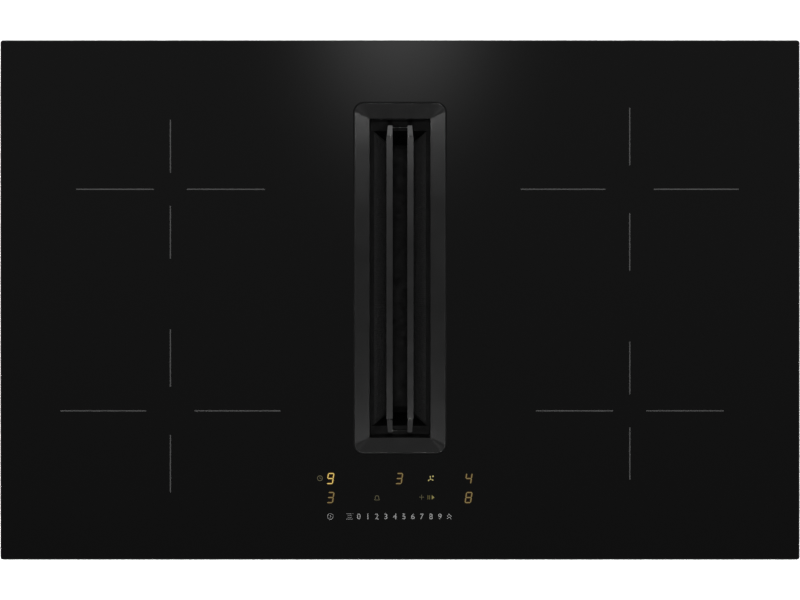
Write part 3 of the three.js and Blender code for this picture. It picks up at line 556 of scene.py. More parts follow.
def add_world():
    """Pale where it is seen directly. In reflections it is dim, with a soft lamp at the back."""
    world = bpy.data.worlds.new("studio")
    world.use_nodes = True
    scene.world = world
    tree = world.node_tree
    tree.nodes.clear()

    def node(kind, *values, **settings):
        """A node's outputs, once its first inputs are linked or set in order."""
        made = tree.nodes.new(kind)
        for setting, value in settings.items():
            setattr(made, setting, value)
        for socket, value in zip(made.inputs, values):
            if isinstance(value, bpy.types.NodeSocket):
                tree.links.new(value, socket)
            else:
                socket.default_value = value
        return made.outputs

    def math_node(operation, *values):
        return node("ShaderNodeMath", *values, operation=operation)[0]

    way = node("ShaderNodeSeparateXYZ", node("ShaderNodeTexCoord")["Generated"])
    upward = math_node("MAXIMUM", way["Z"], LOWEST_UP)
    # Where on the glass the camera sees this direction mirrored.
    across = math_node("MULTIPLY", math_node("DIVIDE", way["X"], upward), CAMERA_HEIGHT)
    along = math_node("MULTIPLY", math_node("DIVIDE", way["Y"], upward), CAMERA_HEIGHT)
    lamp_x = math_node("POWER", math_node("DIVIDE", across, LAMP_WIDTH), 2)
    beyond = math_node("SUBTRACT", along, LAMP_Y)
    lamp_y = math_node("POWER", math_node("DIVIDE", beyond, LAMP_DEPTH), 2)
    lamp = math_node("EXPONENT", math_node("MULTIPLY", math_node("ADD", lamp_x, lamp_y), -0.5))
    ramp = node("ShaderNodeMapRange", along, -HALF_DEPTH, HALF_DEPTH, SKY_FRONT, SKY_REAR)[0]
    overhead = math_node("ADD", ramp, math_node("MULTIPLY", lamp, LAMP_RADIANCE))
    sky = node(
        "ShaderNodeMapRange", way["Z"], SIDE_UP, OVERHEAD_UP, SKY_SIDE, overhead,
        interpolation_type="SMOOTHSTEP")[0]
    mixed = tree.nodes.new("ShaderNodeMix")
    tree.links.new(node("ShaderNodeLightPath")["Is Camera Ray"], mixed.inputs["Factor"])
    tree.links.new(sky, mixed.inputs["A"])
    mixed.inputs["B"].default_value = BACKDROP
    background = tree.nodes.new("ShaderNodeBackground")
    tree.links.new(mixed.outputs[0], background.inputs["Strength"])
    node("ShaderNodeOutputWorld", background.outputs[0])


# The lamp's place and spread, and half the glass, in metres on the glass.
LAMP_Y = 0.316
LAMP_WIDTH = 0.056
LAMP_DEPTH = 0.083
HALF_DEPTH = 0.26
LAMP_RADIANCE = 1.4
SKY_FRONT = 0.162
SKY_REAR = 0.252
SKY_SIDE = 0.06
BACKDROP = 0.93
# Height of a direction, as a share: the least used, then where the sides' sky ends and the
# overhead one is full.
LOWEST_UP = 0.05
SIDE_UP = 0.55
OVERHEAD_UP = 0.97

# Those that light everything, and those that leave out the bezel too.
LIGHT_ALL = ("left", "right", "back", "front")
SPARE_BEZEL = ("leg_rear", "leg_front")

# Softboxes: place, the point each one faces, size and power in watts.
SOFTBOXES = {
    "left": ((-1.45, 0.0, 2.6), (0, 0, 0), (0.9, 1.2), 0.8),
    "right": ((1.45, 0.0, 2.6), (0, 0, 0), (0.9, 1.2), 0.8),
    "back": ((0.0, 1.45, 2.6), (0, 0, 0), (1.2, 0.9), 0.8),
    "front": ((0.0, -1.45, 2.6), (0, 0, 0), (1.2, 0.9), 0.8),
    "strip_rear_left": ((-0.49, 0.34, 0.46), (0, 0.15, 0.2), (0.08, 0.12), 1.25),
    "strip_rear_right": ((0.49, 0.34, 0.46), (0, 0.15, 0.2), (0.08, 0.12), 1.3),
    "strip_front_left": ((-0.75, -0.38, 0.53), (0, -0.05, 0.2), (0.14, 0.20), 2.0),
    "strip_front_right": ((0.75, -0.38, 0.53), (0, -0.05, 0.2), (0.14, 0.20), 2.05),
    "bar_rear": ((0.0, 0.49, 1.8), (0, 0.15, 0.2), (0.2, 0.06), 8.8),
    "bar_front": ((0.0, -0.49, 1.8), (0, -0.12, 0.2), (0.2, 0.06), 15.5),
    "leg_rear": ((0.0, 4.5, 3.9), (0, 0.15, 0.2), (1.0, 0.5), 4.6),
    "leg_front": ((0.0, -4.5, 3.9), (0, -0.1, 0.2), (1.0, 0.5), 1.2),
    "corner_rear_left": ((-1.9, 1.5, 1.5), (0, 0, 0.2), (1.2, 0.4), 1.9),
    "corner_rear_right": ((1.9, 1.5, 1.5), (0, 0, 0.2), (1.2, 0.4), 1.6),
    "corner_front_left": ((-1.9, -1.5, 1.5), (0, 0, 0.2), (1.2, 0.4), 1.9),
    "corner_front_right": ((1.9, -1.5, 1.5), (0, 0, 0.2), (1.2, 0.4), 2.1),
    "bezel_rear": ((0.0, -2.4, 1.75), (0, 0.15, 0.2), (0.9, 0.4), 0.08),
    "bezel_front": ((0.0, 2.4, 1.75), (0, -0.12, 0.2), (0.9, 0.4), 0.24),
}


def spare(name, objects):
    """A collection of objects that a light leaves out."""
    spared = bpy.data.collections.new(name)
    for obj in objects:
        spared.objects.link(obj)
    for member in spared.collection_objects:
        member.light_linking.link_state = "EXCLUDE"
    return spared


def add_softboxes(glass, bezel):
    """The large ones light everything. The others leave out the glass, and some the bezel too."""
    no_glass = spare("spared_glass", [glass])
    no_bezel = spare("spared_glass_and_bezel", [glass, bezel])
    for name, (place, target, (width, depth), power) in SOFTBOXES.items():
        light = bpy.data.lights.new(name, "AREA")
        light.shape = "RECTANGLE"
        light.size = width
        light.size_y = depth
        light.energy = power
        obj = bpy.data.objects.new(name, light)
        obj.location = place
        aim = Vector(target) - Vector(place)
        obj.rotation_euler = aim.to_track_quat("-Z", "Y").to_euler()
        obj.visible_camera = False
        if name not in LIGHT_ALL:
            obj.light_linking.receiver_collection = no_bezel if name in SPARE_BEZEL else no_glass
        scene.collection.objects.link(obj)


def add_floor():
    """A pale floor that glows a little, as a light table does. It is clear from below."""
    finish = Finish("floor", grey(0.86), 0.85)
    finish.tint(grey(0.84), grey(0.88), 1.5)
    finish.set("Emission Color", (1, 1, 1, 1))
    finish.set("Emission Strength", FLOOR_LIGHT)
    below = finish.node("ShaderNodeNewGeometry").outputs["Backfacing"]
    clear = finish.node("ShaderNodeBsdfTransparent").outputs[0]
    sides = finish.node("ShaderNodeMixShader", Fac=below)
    finish.tree.links.new(finish.shader.outputs[0], sides.inputs[1])
    finish.tree.links.new(clear, sides.inputs[2])
    finish.tree.links.new(sides.outputs[0], finish.tree.nodes["Material Output"].inputs["Surface"])
    bm = bmesh.new()
    bmesh.ops.create_grid(bm, x_segments=1, y_segments=1, size=FLOOR_HALF)
    floor = bpy.data.objects.new("floor", mesh_from(bm, "floor"))
    floor.data.materials.append(finish.material)
    floor.location.z = -FLOOR_GAP
    scene.collection.objects.link(floor)


FLOOR_LIGHT = 0.86
FLOOR_HALF = 6
FLOOR_GAP = 0.2 * MM

scene.view_settings.view_transform = "Standard"
add_camera()
add_world()
add_floor()


# -------------------------------------------------------------- zone crosses

def zone_cross(name, centre, start, ends):
    arms = [[(dx * d, dy * d) for d in (start, end)] for (dx, dy), end in zip(CROSS_WAYS, ends)]
    loops = strokes(*centre, CROSS_WIDTH, *arms)
    piece(f"zone_mark_{name}", plate(loops, PRINT_THICKNESS), "grey_print")


CROSS_WIDTH = 1.15 * MM
CROSS_WAYS = ((-1, 0), (1, 0), (0, 1), (0, -1))

# In millimetres: the centre, and from there where all arms start and where each way's arm ends.
CROSSES = {
    "rear_left": ((-229.7, 110.8), 17, (94, 94, 69, 69)),
    "front_left": ((-229.7, -110.9), 24.5, (109.5, 109.5, 81, 81)),
    "rear_right": ((229.8, 110.8), 24.5, (108.5, 108.5, 81, 81)),
    "front_right": ((229.9, -110.9), 17, (93.5, 93.5, 69, 68.5)),
}
for zone, cross in CROSSES.items():
    zone_cross(zone, *cross)


# ------------------------------------------------------------------- display

SEGMENTS = {3: "abgcd", 4: "fgbc", 8: "abcdefg", 9: "abcdfg"}


def segment_loops(digit, x, y, width, gap):
    """Mitred segments of one slanted digit, centred on a point."""
    half_x = DIGIT_WIDTH / 2 - SEGMENT_WIDTH / 2
    half_y = DIGIT_HEIGHT / 2 - SEGMENT_WIDTH / 2
    ends = {
        "a": ((-half_x, half_y), (half_x, half_y)), "g": ((-half_x, 0), (half_x, 0)),
        "d": ((-half_x, -half_y), (half_x, -half_y)), "f": ((-half_x, 0), (-half_x, half_y)),
        "b": ((half_x, 0), (half_x, half_y)), "e": ((-half_x, -half_y), (-half_x, 0)),
        "c": ((half_x, -half_y), (half_x, 0)),
    }
    loops = []
    for letter in SEGMENTS[digit]:
        (x0, y0), (x1, y1) = ends[letter]
        length = math.hypot(x1 - x0, y1 - y0)
        ux, uy = (x1 - x0) / length, (y1 - y0) / length
        outline = [
            (gap, 0), (gap + width / 2, width / 2), (length - gap - width / 2, width / 2),
            (length - gap, 0), (length - gap - width / 2, -width / 2),
            (gap + width / 2, -width / 2)]
        upright = [(x0 + ux * s - uy * t, y0 + uy * s + ux * t) for s, t in outline]
        loops.append([(x + px + py * DIGIT_SLANT, y + py) for px, py in upright])
    return loops


def lit(name, loops, level, base=GLASS_TOP):
    """A lit piece of the display at one of the levels of amber."""
    piece(name, plate(loops, PRINT_THICKNESS, base), "amber_light", material=amber_levels[level])


def display_digit(name, digit, x, row, level):
    """Bright segments over a wider and much dimmer fringe."""
    x *= MM
    row *= MM
    halo = plate(segment_loops(digit, x, row, FRINGE_WIDTH, FRINGE_GAP), GLOW_THICKNESS)
    piece(f"{name}_fringe", halo, "amber_light", material=fringes[level])
    core = segment_loops(digit, x, row, SEGMENT_WIDTH, SEGMENT_GAP)
    lit(name, core, level, GLASS_TOP + GLOW_THICKNESS)


DIGIT_HEIGHT = 10.9 * MM
DIGIT_WIDTH = 6.2 * MM
DIGIT_SLANT = math.tan(math.radians(8.5))
SEGMENT_WIDTH = 0.77 * MM
SEGMENT_GAP = 0.12 * MM
FRINGE_WIDTH = 2.3 * MM
FRINGE_GAP = 0.02 * MM

UPPER_ROW = -178.6
LOWER_ROW = -197.6

# The digit, its place in millimetres and how bright it is.
DIGITS = {
    "display_rear_left": (9, -69.6, UPPER_ROW, "bright"),
    "display_fan": (3, -0.8, UPPER_ROW, "dim"),
    "display_rear_right": (4, 68.7, UPPER_ROW, "dim"),
    "display_front_left": (3, -69.5, LOWER_ROW, "dim"),
    "display_front_right": (8, 68.6, LOWER_ROW, "dim"),
}
for display, (digit, x, row, level) in DIGITS.items():
    display_digit(display, digit, x, row, level)


# ------------------------------------------------------------------- symbols

def clock_symbol():
    x, y = -80.1, -178.3
    loops = ring(x * MM, y * MM, 2.75 * MM, 0.55 * MM)
    loops += strokes(x, y, 0.45 * MM, [(0, 1.4), (0, -0.2)], [(0.45, -0.2), (1.3, -0.2)])
    lit("clock_symbol", loops, "faint")


def fan_symbol():
    x, y = 30.5, -179.1
    loops = [
        circle(x * MM, y * MM, 0.7 * MM, 16), circle((x + 2.5) * MM, (y + 2.7) * MM, 0.8 * MM, 16)]
    blade = [
        (1.0, -0.2), (1.9, -0.7), (2.8, -0.7), (3.2, -0.1), (2.7, 0.4), (1.8, 0.35), (1.0, 0.2)]
    for turn in (100, 220, 340):
        a = math.radians(turn)
        loops.append(at(x, y, [
            (r * math.cos(a) - s * math.sin(a), r * math.sin(a) + s * math.cos(a))
            for r, s in blade]))
    lit("fan_symbol", loops, "symbol")


def bell_symbol():
    x, y = -23.0, -198.1
    dome = arc(1.75, 180, 0, 10, 0, 0.6)
    outline = [(-2.6, -1.7), (-1.75, -0.9), *dome, (1.75, -0.9), (2.6, -1.7)]
    loops = strokes(x, y, 0.5 * MM, outline)
    loops += strokes(x, y, 0.4 * MM, [(-1.9, -2.0), (1.9, -2.0)])
    lit("bell_symbol", loops, "faint")


def plus_symbol():
    x, y = 21.6, -197.2
    loops = strokes(
        x, y, 0.4 * MM, [(-2.3, 0), (2.3, 0)], [(0, 0.3), (0, 2.3)], [(0, -0.3), (0, -2.3)])
    lit("plus_symbol", loops, "faint")


def step_symbol():
    x, y = 30.9, -197.4
    bars = strokes(x, y, 0.7 * MM, [(-3.0, -1.8), (-3.0, 1.8)], [(-1.3, -1.8), (-1.3, 1.8)])
    lit("step_bars", bars, "bars")
    lit("step_arrow", [at(x, y, [(0.9, -2.2), (3.6, 0), (0.9, 2.2)])], "arrow")


def printed(name, mesh, material):
    piece(name, mesh, "grey_print", material=material)


def power_symbol():
    x, y = -69.7, SCALE_ROW
    loops = ring(x * MM, y * MM, 3.05 * MM, PRINT_LINE)
    loops += strokes(x, y, PRINT_LINE, [(0, -1.2), (0, 1.2)])
    printed("power_symbol", plate(loops, PRINT_THICKNESS), scale_print)


def keep_warm_symbol():
    x, y = -50.4, SCALE_ROW
    paths = [[(-3.2, -2.6), (3.2, -2.6)], [(-3.2, 2.6), (3.2, 2.6)]]
    for level in (-1.1, 0.9):
        paths.append([(dx / 2, level + 0.3 * math.sin(dx * 1.6)) for dx in range(-4, 5)])
    loops = strokes(x, y, PRINT_LINE, *paths)
    printed("keep_warm_symbol", plate(loops, PRINT_THICKNESS), faint_print)


def boost_symbol():
    x, y = 49.2, SCALE_ROW
    paths = [[(-2.0, level), (0, level + 2.0), (2.0, level)] for level in (-2.4, 0.2)]
    loops = strokes(x, y, 0.65 * MM, *paths)
    printed("boost_symbol", plate(loops, PRINT_THICKNESS), scale_print)


def scale_digit(digit):
    """A digit of the touch scale, sized by its own height."""
    curve = bpy.data.curves.new("digit", "FONT")
    curve.body = str(digit)
    curve.align_x = "CENTER"
    curve.align_y = "CENTER"
    curve.size = 1
    curve.offset = SCALE_WEIGHT
    curve.extrude = PRINT_THICKNESS / 2
    mesh = mesh_of_curve(curve, (0, 0, 0), SCALE_HEIGHT / DIGIT_UNIT)
    xs = [v.co.x for v in mesh.vertices]
    ys = [v.co.y for v in mesh.vertices]
    shift = Vector((
        (SCALE_FIRST + SCALE_PITCH * digit) * MM - (min(xs) + max(xs)) / 2,
        SCALE_ROW * MM - (min(ys) + max(ys)) / 2,
        GLASS_TOP + PRINT_THICKNESS / 2))
    for vertex in mesh.vertices:
        vertex.co += shift
    printed(f"scale_digit_{digit}", mesh, scale_print)


PRINT_LINE = 0.42 * MM
SCALE_ROW = -216.5
SCALE_FIRST = -41.2
SCALE_PITCH = 9.02
SCALE_HEIGHT = 5.9 * MM
SCALE_WEIGHT = 0.004
DIGIT_UNIT = 0.74  # height of a digit in a font of size 1

clock_symbol()
fan_symbol()
bell_symbol()
plus_symbol()
step_symbol()
power_symbol()
keep_warm_symbol()
boost_symbol()
for number in range(10):
    scale_digit(number)


# --------------------------------------------------------------------- intake

BEZEL_RADIUS = 9 * MM
BEZEL_FACE = 14.5 * MM
BEZEL_RIM = 0.06 * MM
BEZEL_LAND = 0.9 * MM
BEZEL_INNER_RADIUS = 0.5 * MM
BEZEL_RIM_ROUND = 0.02 * MM
BEZEL_FOOT_ROUND = 0.35 * MM
BEZEL_SMOOTH = 25
CORNER_STEPS = 14


def intake_bezel():
    """Four faces that slope down to the opening, blended softly in the corners."""
    half_x = (bezel_high.x - bezel_low.x) / 2
    half_y = (bezel_high.y - bezel_low.y) / 2
    low = bezel_low.z
    high = bezel_high.z
    outline = [
        (0, low), (0, high), (BEZEL_RIM, high), (BEZEL_FACE, low + BEZEL_LAND), (BEZEL_FACE, low)]
    radii = [0, BEZEL_RIM_ROUND, 0, BEZEL_FOOT_ROUND, 0]
    rings = []
    for inset, z in rounded_profile(outline, radii):
        share = inset / BEZEL_FACE
        radius = BEZEL_RADIUS * (1 - share) + BEZEL_INNER_RADIUS * share
        rings.append([
            (x, y + INTAKE_Y, z)
            for x, y in rounded_ring(half_x - inset, half_y - inset, radius, CORNER_STEPS)])
    mesh = mesh_from(loft(rings), "bezel", BEZEL_SMOOTH)
    made = piece("bezel", mesh, "black_metal", stands_for=["intake_bezel"])
    flat = made.modifiers.new("flat_faces", "WEIGHTED_NORMAL")
    flat.keep_sharp = True
    return made


def mesh_corners(side, depth):
    """A filter plate's corners, a depth in from its outer face: two on top, two at the foot."""
    low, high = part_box(f"filter_mesh_{side}")
    sign = -1 if side == "left" else 1
    vertices = nodes[f"filter_mesh_{side}"].data.vertices
    foot_y = [v.co.y for v in vertices if v.co.z < low.z + MESH_FOOT]
    top_x = sign * (max(abs(low.x), abs(high.x)) - depth)
    foot_x = sign * (min(abs(low.x), abs(high.x)) + MESH_PLATE - depth)
    return (
        Vector((top_x, low.y, high.z)), Vector((top_x, high.y, high.z)),
        Vector((foot_x, min(foot_y), low.z)), Vector((foot_x, max(foot_y), low.z)))


def mesh_sheet(name, side, depth, shift):
    """One layer of expanded metal with a flat border, on the slope of the plate it stands for."""
    top_front, top_back, foot_front, foot_back = mesh_corners(side, depth)
    across = top_back - top_front
    down = (foot_front + foot_back - top_front - top_back) / 2
    out = across.cross(down).normalized()
    if out.z < 0:
        out.negate()
    columns = round(across.length / MESH_CELL_Y)
    rows = round(down.length / (MESH_CELL_Z / 2))
    bm = bmesh.new()
    shared = {}

    def spot(u, v, lift):
        """A point of the sheet, u along it and v down it, both from 0 to 1."""
        top = top_front.lerp(top_back, u)
        return top.lerp(foot_front.lerp(foot_back, u), v) + out * lift

    def corner(i, j, lift):
        if (i, j) not in shared:
            shared[i, j] = bm.verts.new(spot(i / (2 * columns), j / rows, lift))
        return shared[i, j]

    for j in range(1, rows):
        for i in range((j + shift) % 2, 2 * columns - 1, 2):
            outer = [
                corner(i, j, 0), corner(i + 1, j - 1, MESH_LIFT),
                corner(i + 2, j, 0), corner(i + 1, j + 1, -MESH_LIFT)]
            middle = sum((v.co for v in outer), Vector()) / 4
            inner = [bm.verts.new(v.co.lerp(middle, MESH_STRAND)) for v in outer]
            for k in range(4):
                n = (k + 1) % 4
                bm.faces.new((outer[k], outer[n], inner[n], inner[k]))
    rims = []
    for u, v in ((0, 0), (MESH_BORDER / across.length, MESH_BORDER / down.length)):
        line = [(u, v), (1 - u, v), (1 - u, 1 - v), (u, 1 - v)]
        rims.append([bm.verts.new(spot(*place, MESH_GAUGE / 2)) for place in line])
    for k in range(4):
        n = (k + 1) % 4
        bm.faces.new((rims[0][k], rims[0][n], rims[1][n], rims[1][k]))
    return mesh_from(bm, name)


MESH_FOOT = 1 * MM
MESH_LAYERS = (0.45 * MM, 1.15 * MM)
MESH_BORDER = 1.0 * MM
MESH_PLATE = 1.6 * MM
MESH_CELL_Y = 4.2 * MM
MESH_CELL_Z = 2.6 * MM
MESH_LIFT = 0.15 * MM
MESH_STRAND = 0.36
MESH_GAUGE = 0.35 * MM


def filter_sheets():
    for side in ("left", "right"):
        for layer, depth in enumerate(MESH_LAYERS):
            name = f"mesh_layer_{side}_{layer + 1}"
            mesh = mesh_sheet(name, side, depth, layer)
            stands_for = [f"filter_mesh_{side}"] if layer == 0 else []
            sheet = piece(name, mesh, "filter_steel", "filter", stands_for=stands_for)
            solid = sheet.modifiers.new("gauge", "SOLIDIFY")
            solid.thickness = MESH_GAUGE
            solid.offset = 0


def filter_hems():
    """Folded edges along the top of the mesh, part of the filter's frame. Their near-black is
    painted shade beside the bezel.
    """
    hems = []
    for side in ("left", "right"):
        top_front, top_back, _, _ = mesh_corners(side, MESH_PLATE / 2)
        rings = [
            [(top_front.x + HEM_WIDTH / 2 * a, y, top_front.z + z) for a, z in (
                (-1, -HEM_DEPTH), (-1, HEM_TOP), (1, HEM_TOP), (1, -HEM_DEPTH))]
            for y in (top_front.y, top_back.y)]
        hems.append(loft(rings, closed=False))
    # The hems take the near-black steel: painted shade beside the bezel.
    made = piece("filter_hems", mesh_of(hems, "hems"), "filter_steel", "filter", painted_shade_steel)
    bevel(made, HEM_EDGE)


HEM_WIDTH = 2 * MM
HEM_DEPTH = 1.5 * MM
HEM_TOP = 0.1 * MM
HEM_EDGE = 0.15 * MM


def slab(points, limits):
    """A bmesh across X between two limits that depend on Y, over an outline of (y, z) points."""
    rings = [[(limits(y)[k], y + INTAKE_Y, z) for y, z in points] for k in (0, 1)]
    return loft(rings, closed=False)


def mesh_of(parts, name, smooth_angle=None):
    """One mesh out of several bmeshes."""
    whole = bmesh.new()
    for bm in parts:
        mesh = bpy.data.meshes.new("part")
        bm.to_mesh(mesh)
        bm.free()
        whole.from_mesh(mesh)
        bpy.data.meshes.remove(mesh)
    return mesh_from(whole, name, smooth_angle)


def grille_bars():
    """The two flat bars, between their end pieces, with a tongue under each seam."""
    front, rear = (
        sign * (GRILLE_ENDS[sign]["knee"] - GRILLE_ENDS[sign]["seam"] / 2) for sign in (-1, 1))
    seams = [sign * GRILLE_ENDS[sign]["knee"] for sign in (-1, 1)]
    under = GRILLE_TOP - BAR_THICKNESS
    outline = [
        (front, GRILLE_TOP), (rear, GRILLE_TOP),
        (rear - GRILLE_KNEE, under), (front + GRILLE_KNEE, under)]
    tongue = [
        (-TONGUE_REACH, -TONGUE_TOP), (-TONGUE_GROOVE, -TONGUE_TOP), (0, -TONGUE_FLOOR),
        (TONGUE_GROOVE, -TONGUE_TOP), (TONGUE_REACH, -TONGUE_TOP),
        (TONGUE_REACH, -TONGUE_UNDER), (-TONGUE_REACH, -TONGUE_UNDER)]
    bars = []
    for x in (-BAR_X, BAR_X):
        bars.append(slab(outline, lambda y, x=x: (x - BAR_WIDTH / 2, x + BAR_WIDTH / 2)))
        for middle in seams:
            across = [(middle + y, GRILLE_TOP + z) for y, z in tongue]
            bars.append(slab(across, lambda y, x=x: (x - TONGUE_REACH, x + TONGUE_REACH)))
    mesh = mesh_of(bars, "bars")
    made = piece("grille_bars", mesh, "black_metal", "grille", bar_coating, ["cover_grille"])
    bevel(made, GRILLE_EDGE, 3)


def grille_end(name, sign):
    """Two legs that slope down, narrow and stand on the filter's rim, with an arched tie."""
    end = GRILLE_ENDS[sign]
    half = end["half"]
    knee = end["knee"] + end["seam"] / 2
    low_end = GRILLE_TOP - end["drop"]
    foot = grille_low.z
    outline = [
        (knee, GRILLE_TOP), (half, low_end), (half, foot),
        (half - LEG_THICKNESS, foot), (half - LEG_THICKNESS, low_end - BAR_THICKNESS),
        (knee, GRILLE_TOP - BAR_THICKNESS)]

    def leg_limits(side):
        def limits(y):
            share = (abs(y) - knee) / (half - knee)
            inner = BAR_X - BAR_WIDTH / 2 + LEG_STEP / 2
            outer = BAR_X + BAR_WIDTH / 2 - LEG_STEP - LEG_TAPER * max(share, 0)
            return (side * inner, side * outer)
        return limits

    legs = [slab([(sign * y, z) for y, z in outline], leg_limits(side)) for side in (-1, 1)]
    inner, outer = end["tie"]
    reach = BAR_X - BAR_WIDTH / 2 + TIE_OVERLAP
    turns = [math.pi * i / TIE_STEPS for i in range(TIE_STEPS + 1)]
    arch = [(reach * math.cos(a), outer - TIE_ARCH * math.sin(a)) for a in turns]
    tie_outline = [*arch, (-reach, inner), (reach, inner)]
    tie = loft([
        [(x, sign * y + INTAKE_Y, z) for x, y in tie_outline]
        for z in (foot + TIE_LOW, foot + TIE_HIGH)], closed=False)
    made = piece(name, mesh_of([*legs, tie], name), "black_metal", "grille", bar_coating)
    bevel(made, GRILLE_EDGE, 3)


# For the front (-1) and the rear (1), along Y from the middle of the intake: the end, the knee,
# the seam at the knee, how far the legs slope down, and the tie's inner and outer side.
GRILLE_ENDS = {
    -1: {
        "half": 154.6 * MM, "knee": 141.5 * MM, "seam": 1.0 * MM, "drop": 5.55 * MM,
        "tie": (153.05 * MM, 154.1 * MM)},
    1: {
        "half": 153.1 * MM, "knee": 142.2 * MM, "seam": 0.5 * MM, "drop": 4.57 * MM,
        "tie": (151.2 * MM, 152.34 * MM)},
}
GRILLE_TOP = grille_high.z
GRILLE_KNEE = 0.6 * MM
GRILLE_EDGE = 0.22 * MM
TONGUE_REACH = 2 * MM
TONGUE_GROOVE = 0.65 * MM
TONGUE_TOP = 1.3 * MM
TONGUE_FLOOR = 2.4 * MM
TONGUE_UNDER = 2.8 * MM
BAR_X = 10.45 * MM
BAR_WIDTH = 6.4 * MM
BAR_THICKNESS = 3 * MM
LEG_THICKNESS = 2.4 * MM
LEG_STEP = 0.5 * MM
LEG_TAPER = 0.9 * MM
TIE_OVERLAP = 1 * MM
TIE_LOW = 1.5 * MM
TIE_HIGH = 5.5 * MM
TIE_ARCH = 0.9 * MM
TIE_STEPS = 14

add_softboxes(nodes["glass_plate"], intake_bezel())
filter_sheets()
filter_hems()
grille_bars()
grille_end("grille_end_rear", 1)
grille_end("grille_end_front", -1)


# ------------------------------------------- screws, clips and ribs underneath

def hexagon(radius, turn):
    """How far a hexagon reaches in one direction, from its inner radius."""
    return radius / math.cos((turn + math.pi / 6) % (math.pi / 3) - math.pi / 6)


def screw(place, facing, radius, height):
    """A bmesh of a pan head with a hexagon socket, its back on a face that looks in a direction."""
    turns = [2 * math.pi * i / SCREW_STEPS for i in range(SCREW_STEPS)]
    rings = [
        [(r * radius * math.cos(a), r * radius * math.sin(a), z * height) for a in turns]
        for r, z in HEAD_PROFILE]
    reaches = [(hexagon(SOCKET * radius, a), a) for a in turns]
    rings += [
        [(reach * math.cos(a), reach * math.sin(a), z * height) for reach, a in reaches]
        for z in SOCKET_LEVELS]
    bm = loft(rings, closed=False)
    turn = Vector((0, 0, 1)).rotation_difference(Vector(facing)).to_matrix().to_4x4()
    bmesh.ops.transform(bm, matrix=Matrix.Translation(place) @ turn, verts=bm.verts[:])
    return bm


def screws(name, places, radius, height):
    """One piece out of screws at (place, facing) pairs."""
    heads = [screw(place, facing, radius, height) for place, facing in places]
    piece(name, mesh_of(heads, name, SCREW_SMOOTH), "galvanised")


SCREW_STEPS = 24
SCREW_SMOOTH = 40
# Shares of a head's radius and height, and the levels of its socket.
HEAD_PROFILE = ((1, -0.2), (1, 0.45), (0.92, 0.78), (0.72, 1))
SOCKET_LEVELS = (1, 0.3)
SOCKET = 0.42
TERMINAL_HEAD = (2.9 * MM, 1.8 * MM)
FLANGE_HEAD = (2.1 * MM, 1.3 * MM)
RIVET_HEAD = (2.4 * MM, 1.1 * MM)
LEFT, RIGHT, FRONT, BACK, DOWN = (-1, 0, 0), (1, 0, 0), (0, -1, 0), (0, 1, 0), (0, 0, -1)


def terminal_screws():
    low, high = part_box("terminal_cover")
    places = [
        ((x, y, low.z), DOWN) for x in (low.x + TERMINAL_INSET, high.x - TERMINAL_INSET)
        for y in (low.y + TERMINAL_INSET, high.y - TERMINAL_INSET)]
    screws("terminal_screws", places, *TERMINAL_HEAD)


def flange_screws():
    """Round the spigot's mouth, in the middle of its flange."""
    low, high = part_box("outlet_spigot")
    face = module_high.y + FLANGE_FACE
    edge = FLANGE_WIDTH / 2
    sides = [(x, low.z + z) for x in (low.x + edge, high.x - edge) for z in FLANGE_HEIGHTS]
    top = [(low.x + share * (high.x - low.x), high.z - edge) for share in FLANGE_SHARES]
    screws("flange_screws", [((x, face, z), BACK) for x, z in sides + top], *FLANGE_HEAD)


def casing_rivets(side):
    """Along the walls of one casing, near its floor."""
    low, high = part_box(f"casing_{side}")
    z = low.z + RIVET_UP
    outer, inward, facing = (
        (low.x + CASING_RIM, 1, LEFT) if side == "left" else (high.x - CASING_RIM, -1, RIGHT))
    places = [((outer, y * MM, z), facing) for y in RIVETS_Y]
    for y, way in ((low.y + CASING_RIM, FRONT), (high.y - CASING_RIM, BACK)):
        places += [((outer + inward * x * MM, y, z), way) for x in RIVETS_IN]
    screws(f"casing_rivets_{side}", places, *RIVET_HEAD)


def module_lip(name, z0, z1):
    """A thin flange round the module's left, front and right walls, beside the seam."""
    inner = []
    outer = []
    for step, path in ((-LIP_SINK, inner), (LIP_OUT, outer)):
        radius = MODULE_RADIUS + step
        x0, x1, y0 = module_low.x - step, module_high.x + step, module_low.y - step
        path.append((x0, module_high.y - MODULE_RADIUS))
        path += arc(radius, 180, 270, 8, x0 + radius, y0 + radius)
        path += arc(radius, 270, 360, 8, x1 - radius, y0 + radius)
        path.append((x1, module_high.y - MODULE_RADIUS))
    made = piece(name, plate([outer + inner[::-1]], z1 - z0, z0), "grey_plastic")
    bevel(made, LIP_EDGE)


def module_clips():
    """Spring clips that hold the two halves of the module together across the seam."""
    ends = ((module_low.x, LEFT), (module_high.x, RIGHT))
    walls = [((x, y * MM), facing) for x, facing in ends for y in CLIPS_Y]
    walls += [((x * MM, module_low.y), FRONT) for x in CLIPS_X]
    clips = []
    for (x, y), facing in walls:
        out = Vector(facing)
        along = out.cross(Vector((0, 0, 1)))
        rings = []
        for side in (-1, 1):
            middle = Vector((x, y, SEAM_Z)) + along * side * CLIP_WIDTH / 2
            rings.append([middle + out * d * MM + Vector((0, 0, z * MM)) for d, z in CLIP_PROFILE])
        clips.append(loft(rings, closed=False))
    made = piece("module_clips", mesh_of(clips, "clips"), "galvanised")
    bevel(made, CLIP_EDGE)


def floor_beads():
    """Stiffening beads pressed into the floor of the left casing, beside its vent."""
    low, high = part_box("casing_left")
    beads = []
    for x, y0, y1 in BEADS:
        rings = []
        for inset, drop in BEAD_PROFILE:
            half = BEAD_WIDTH / 2 - inset * MM
            rings.append([
                (x * MM + px, (y0 + y1) / 2 * MM + py, low.z - drop * MM)
                for px, py in rounded_ring(half, (y1 - y0) / 2 * MM - inset * MM, half, 6)])
        beads.append(loft(rings, closed=False))
    piece("floor_beads", mesh_of(beads, "beads", BEAD_SMOOTH), "galvanised")


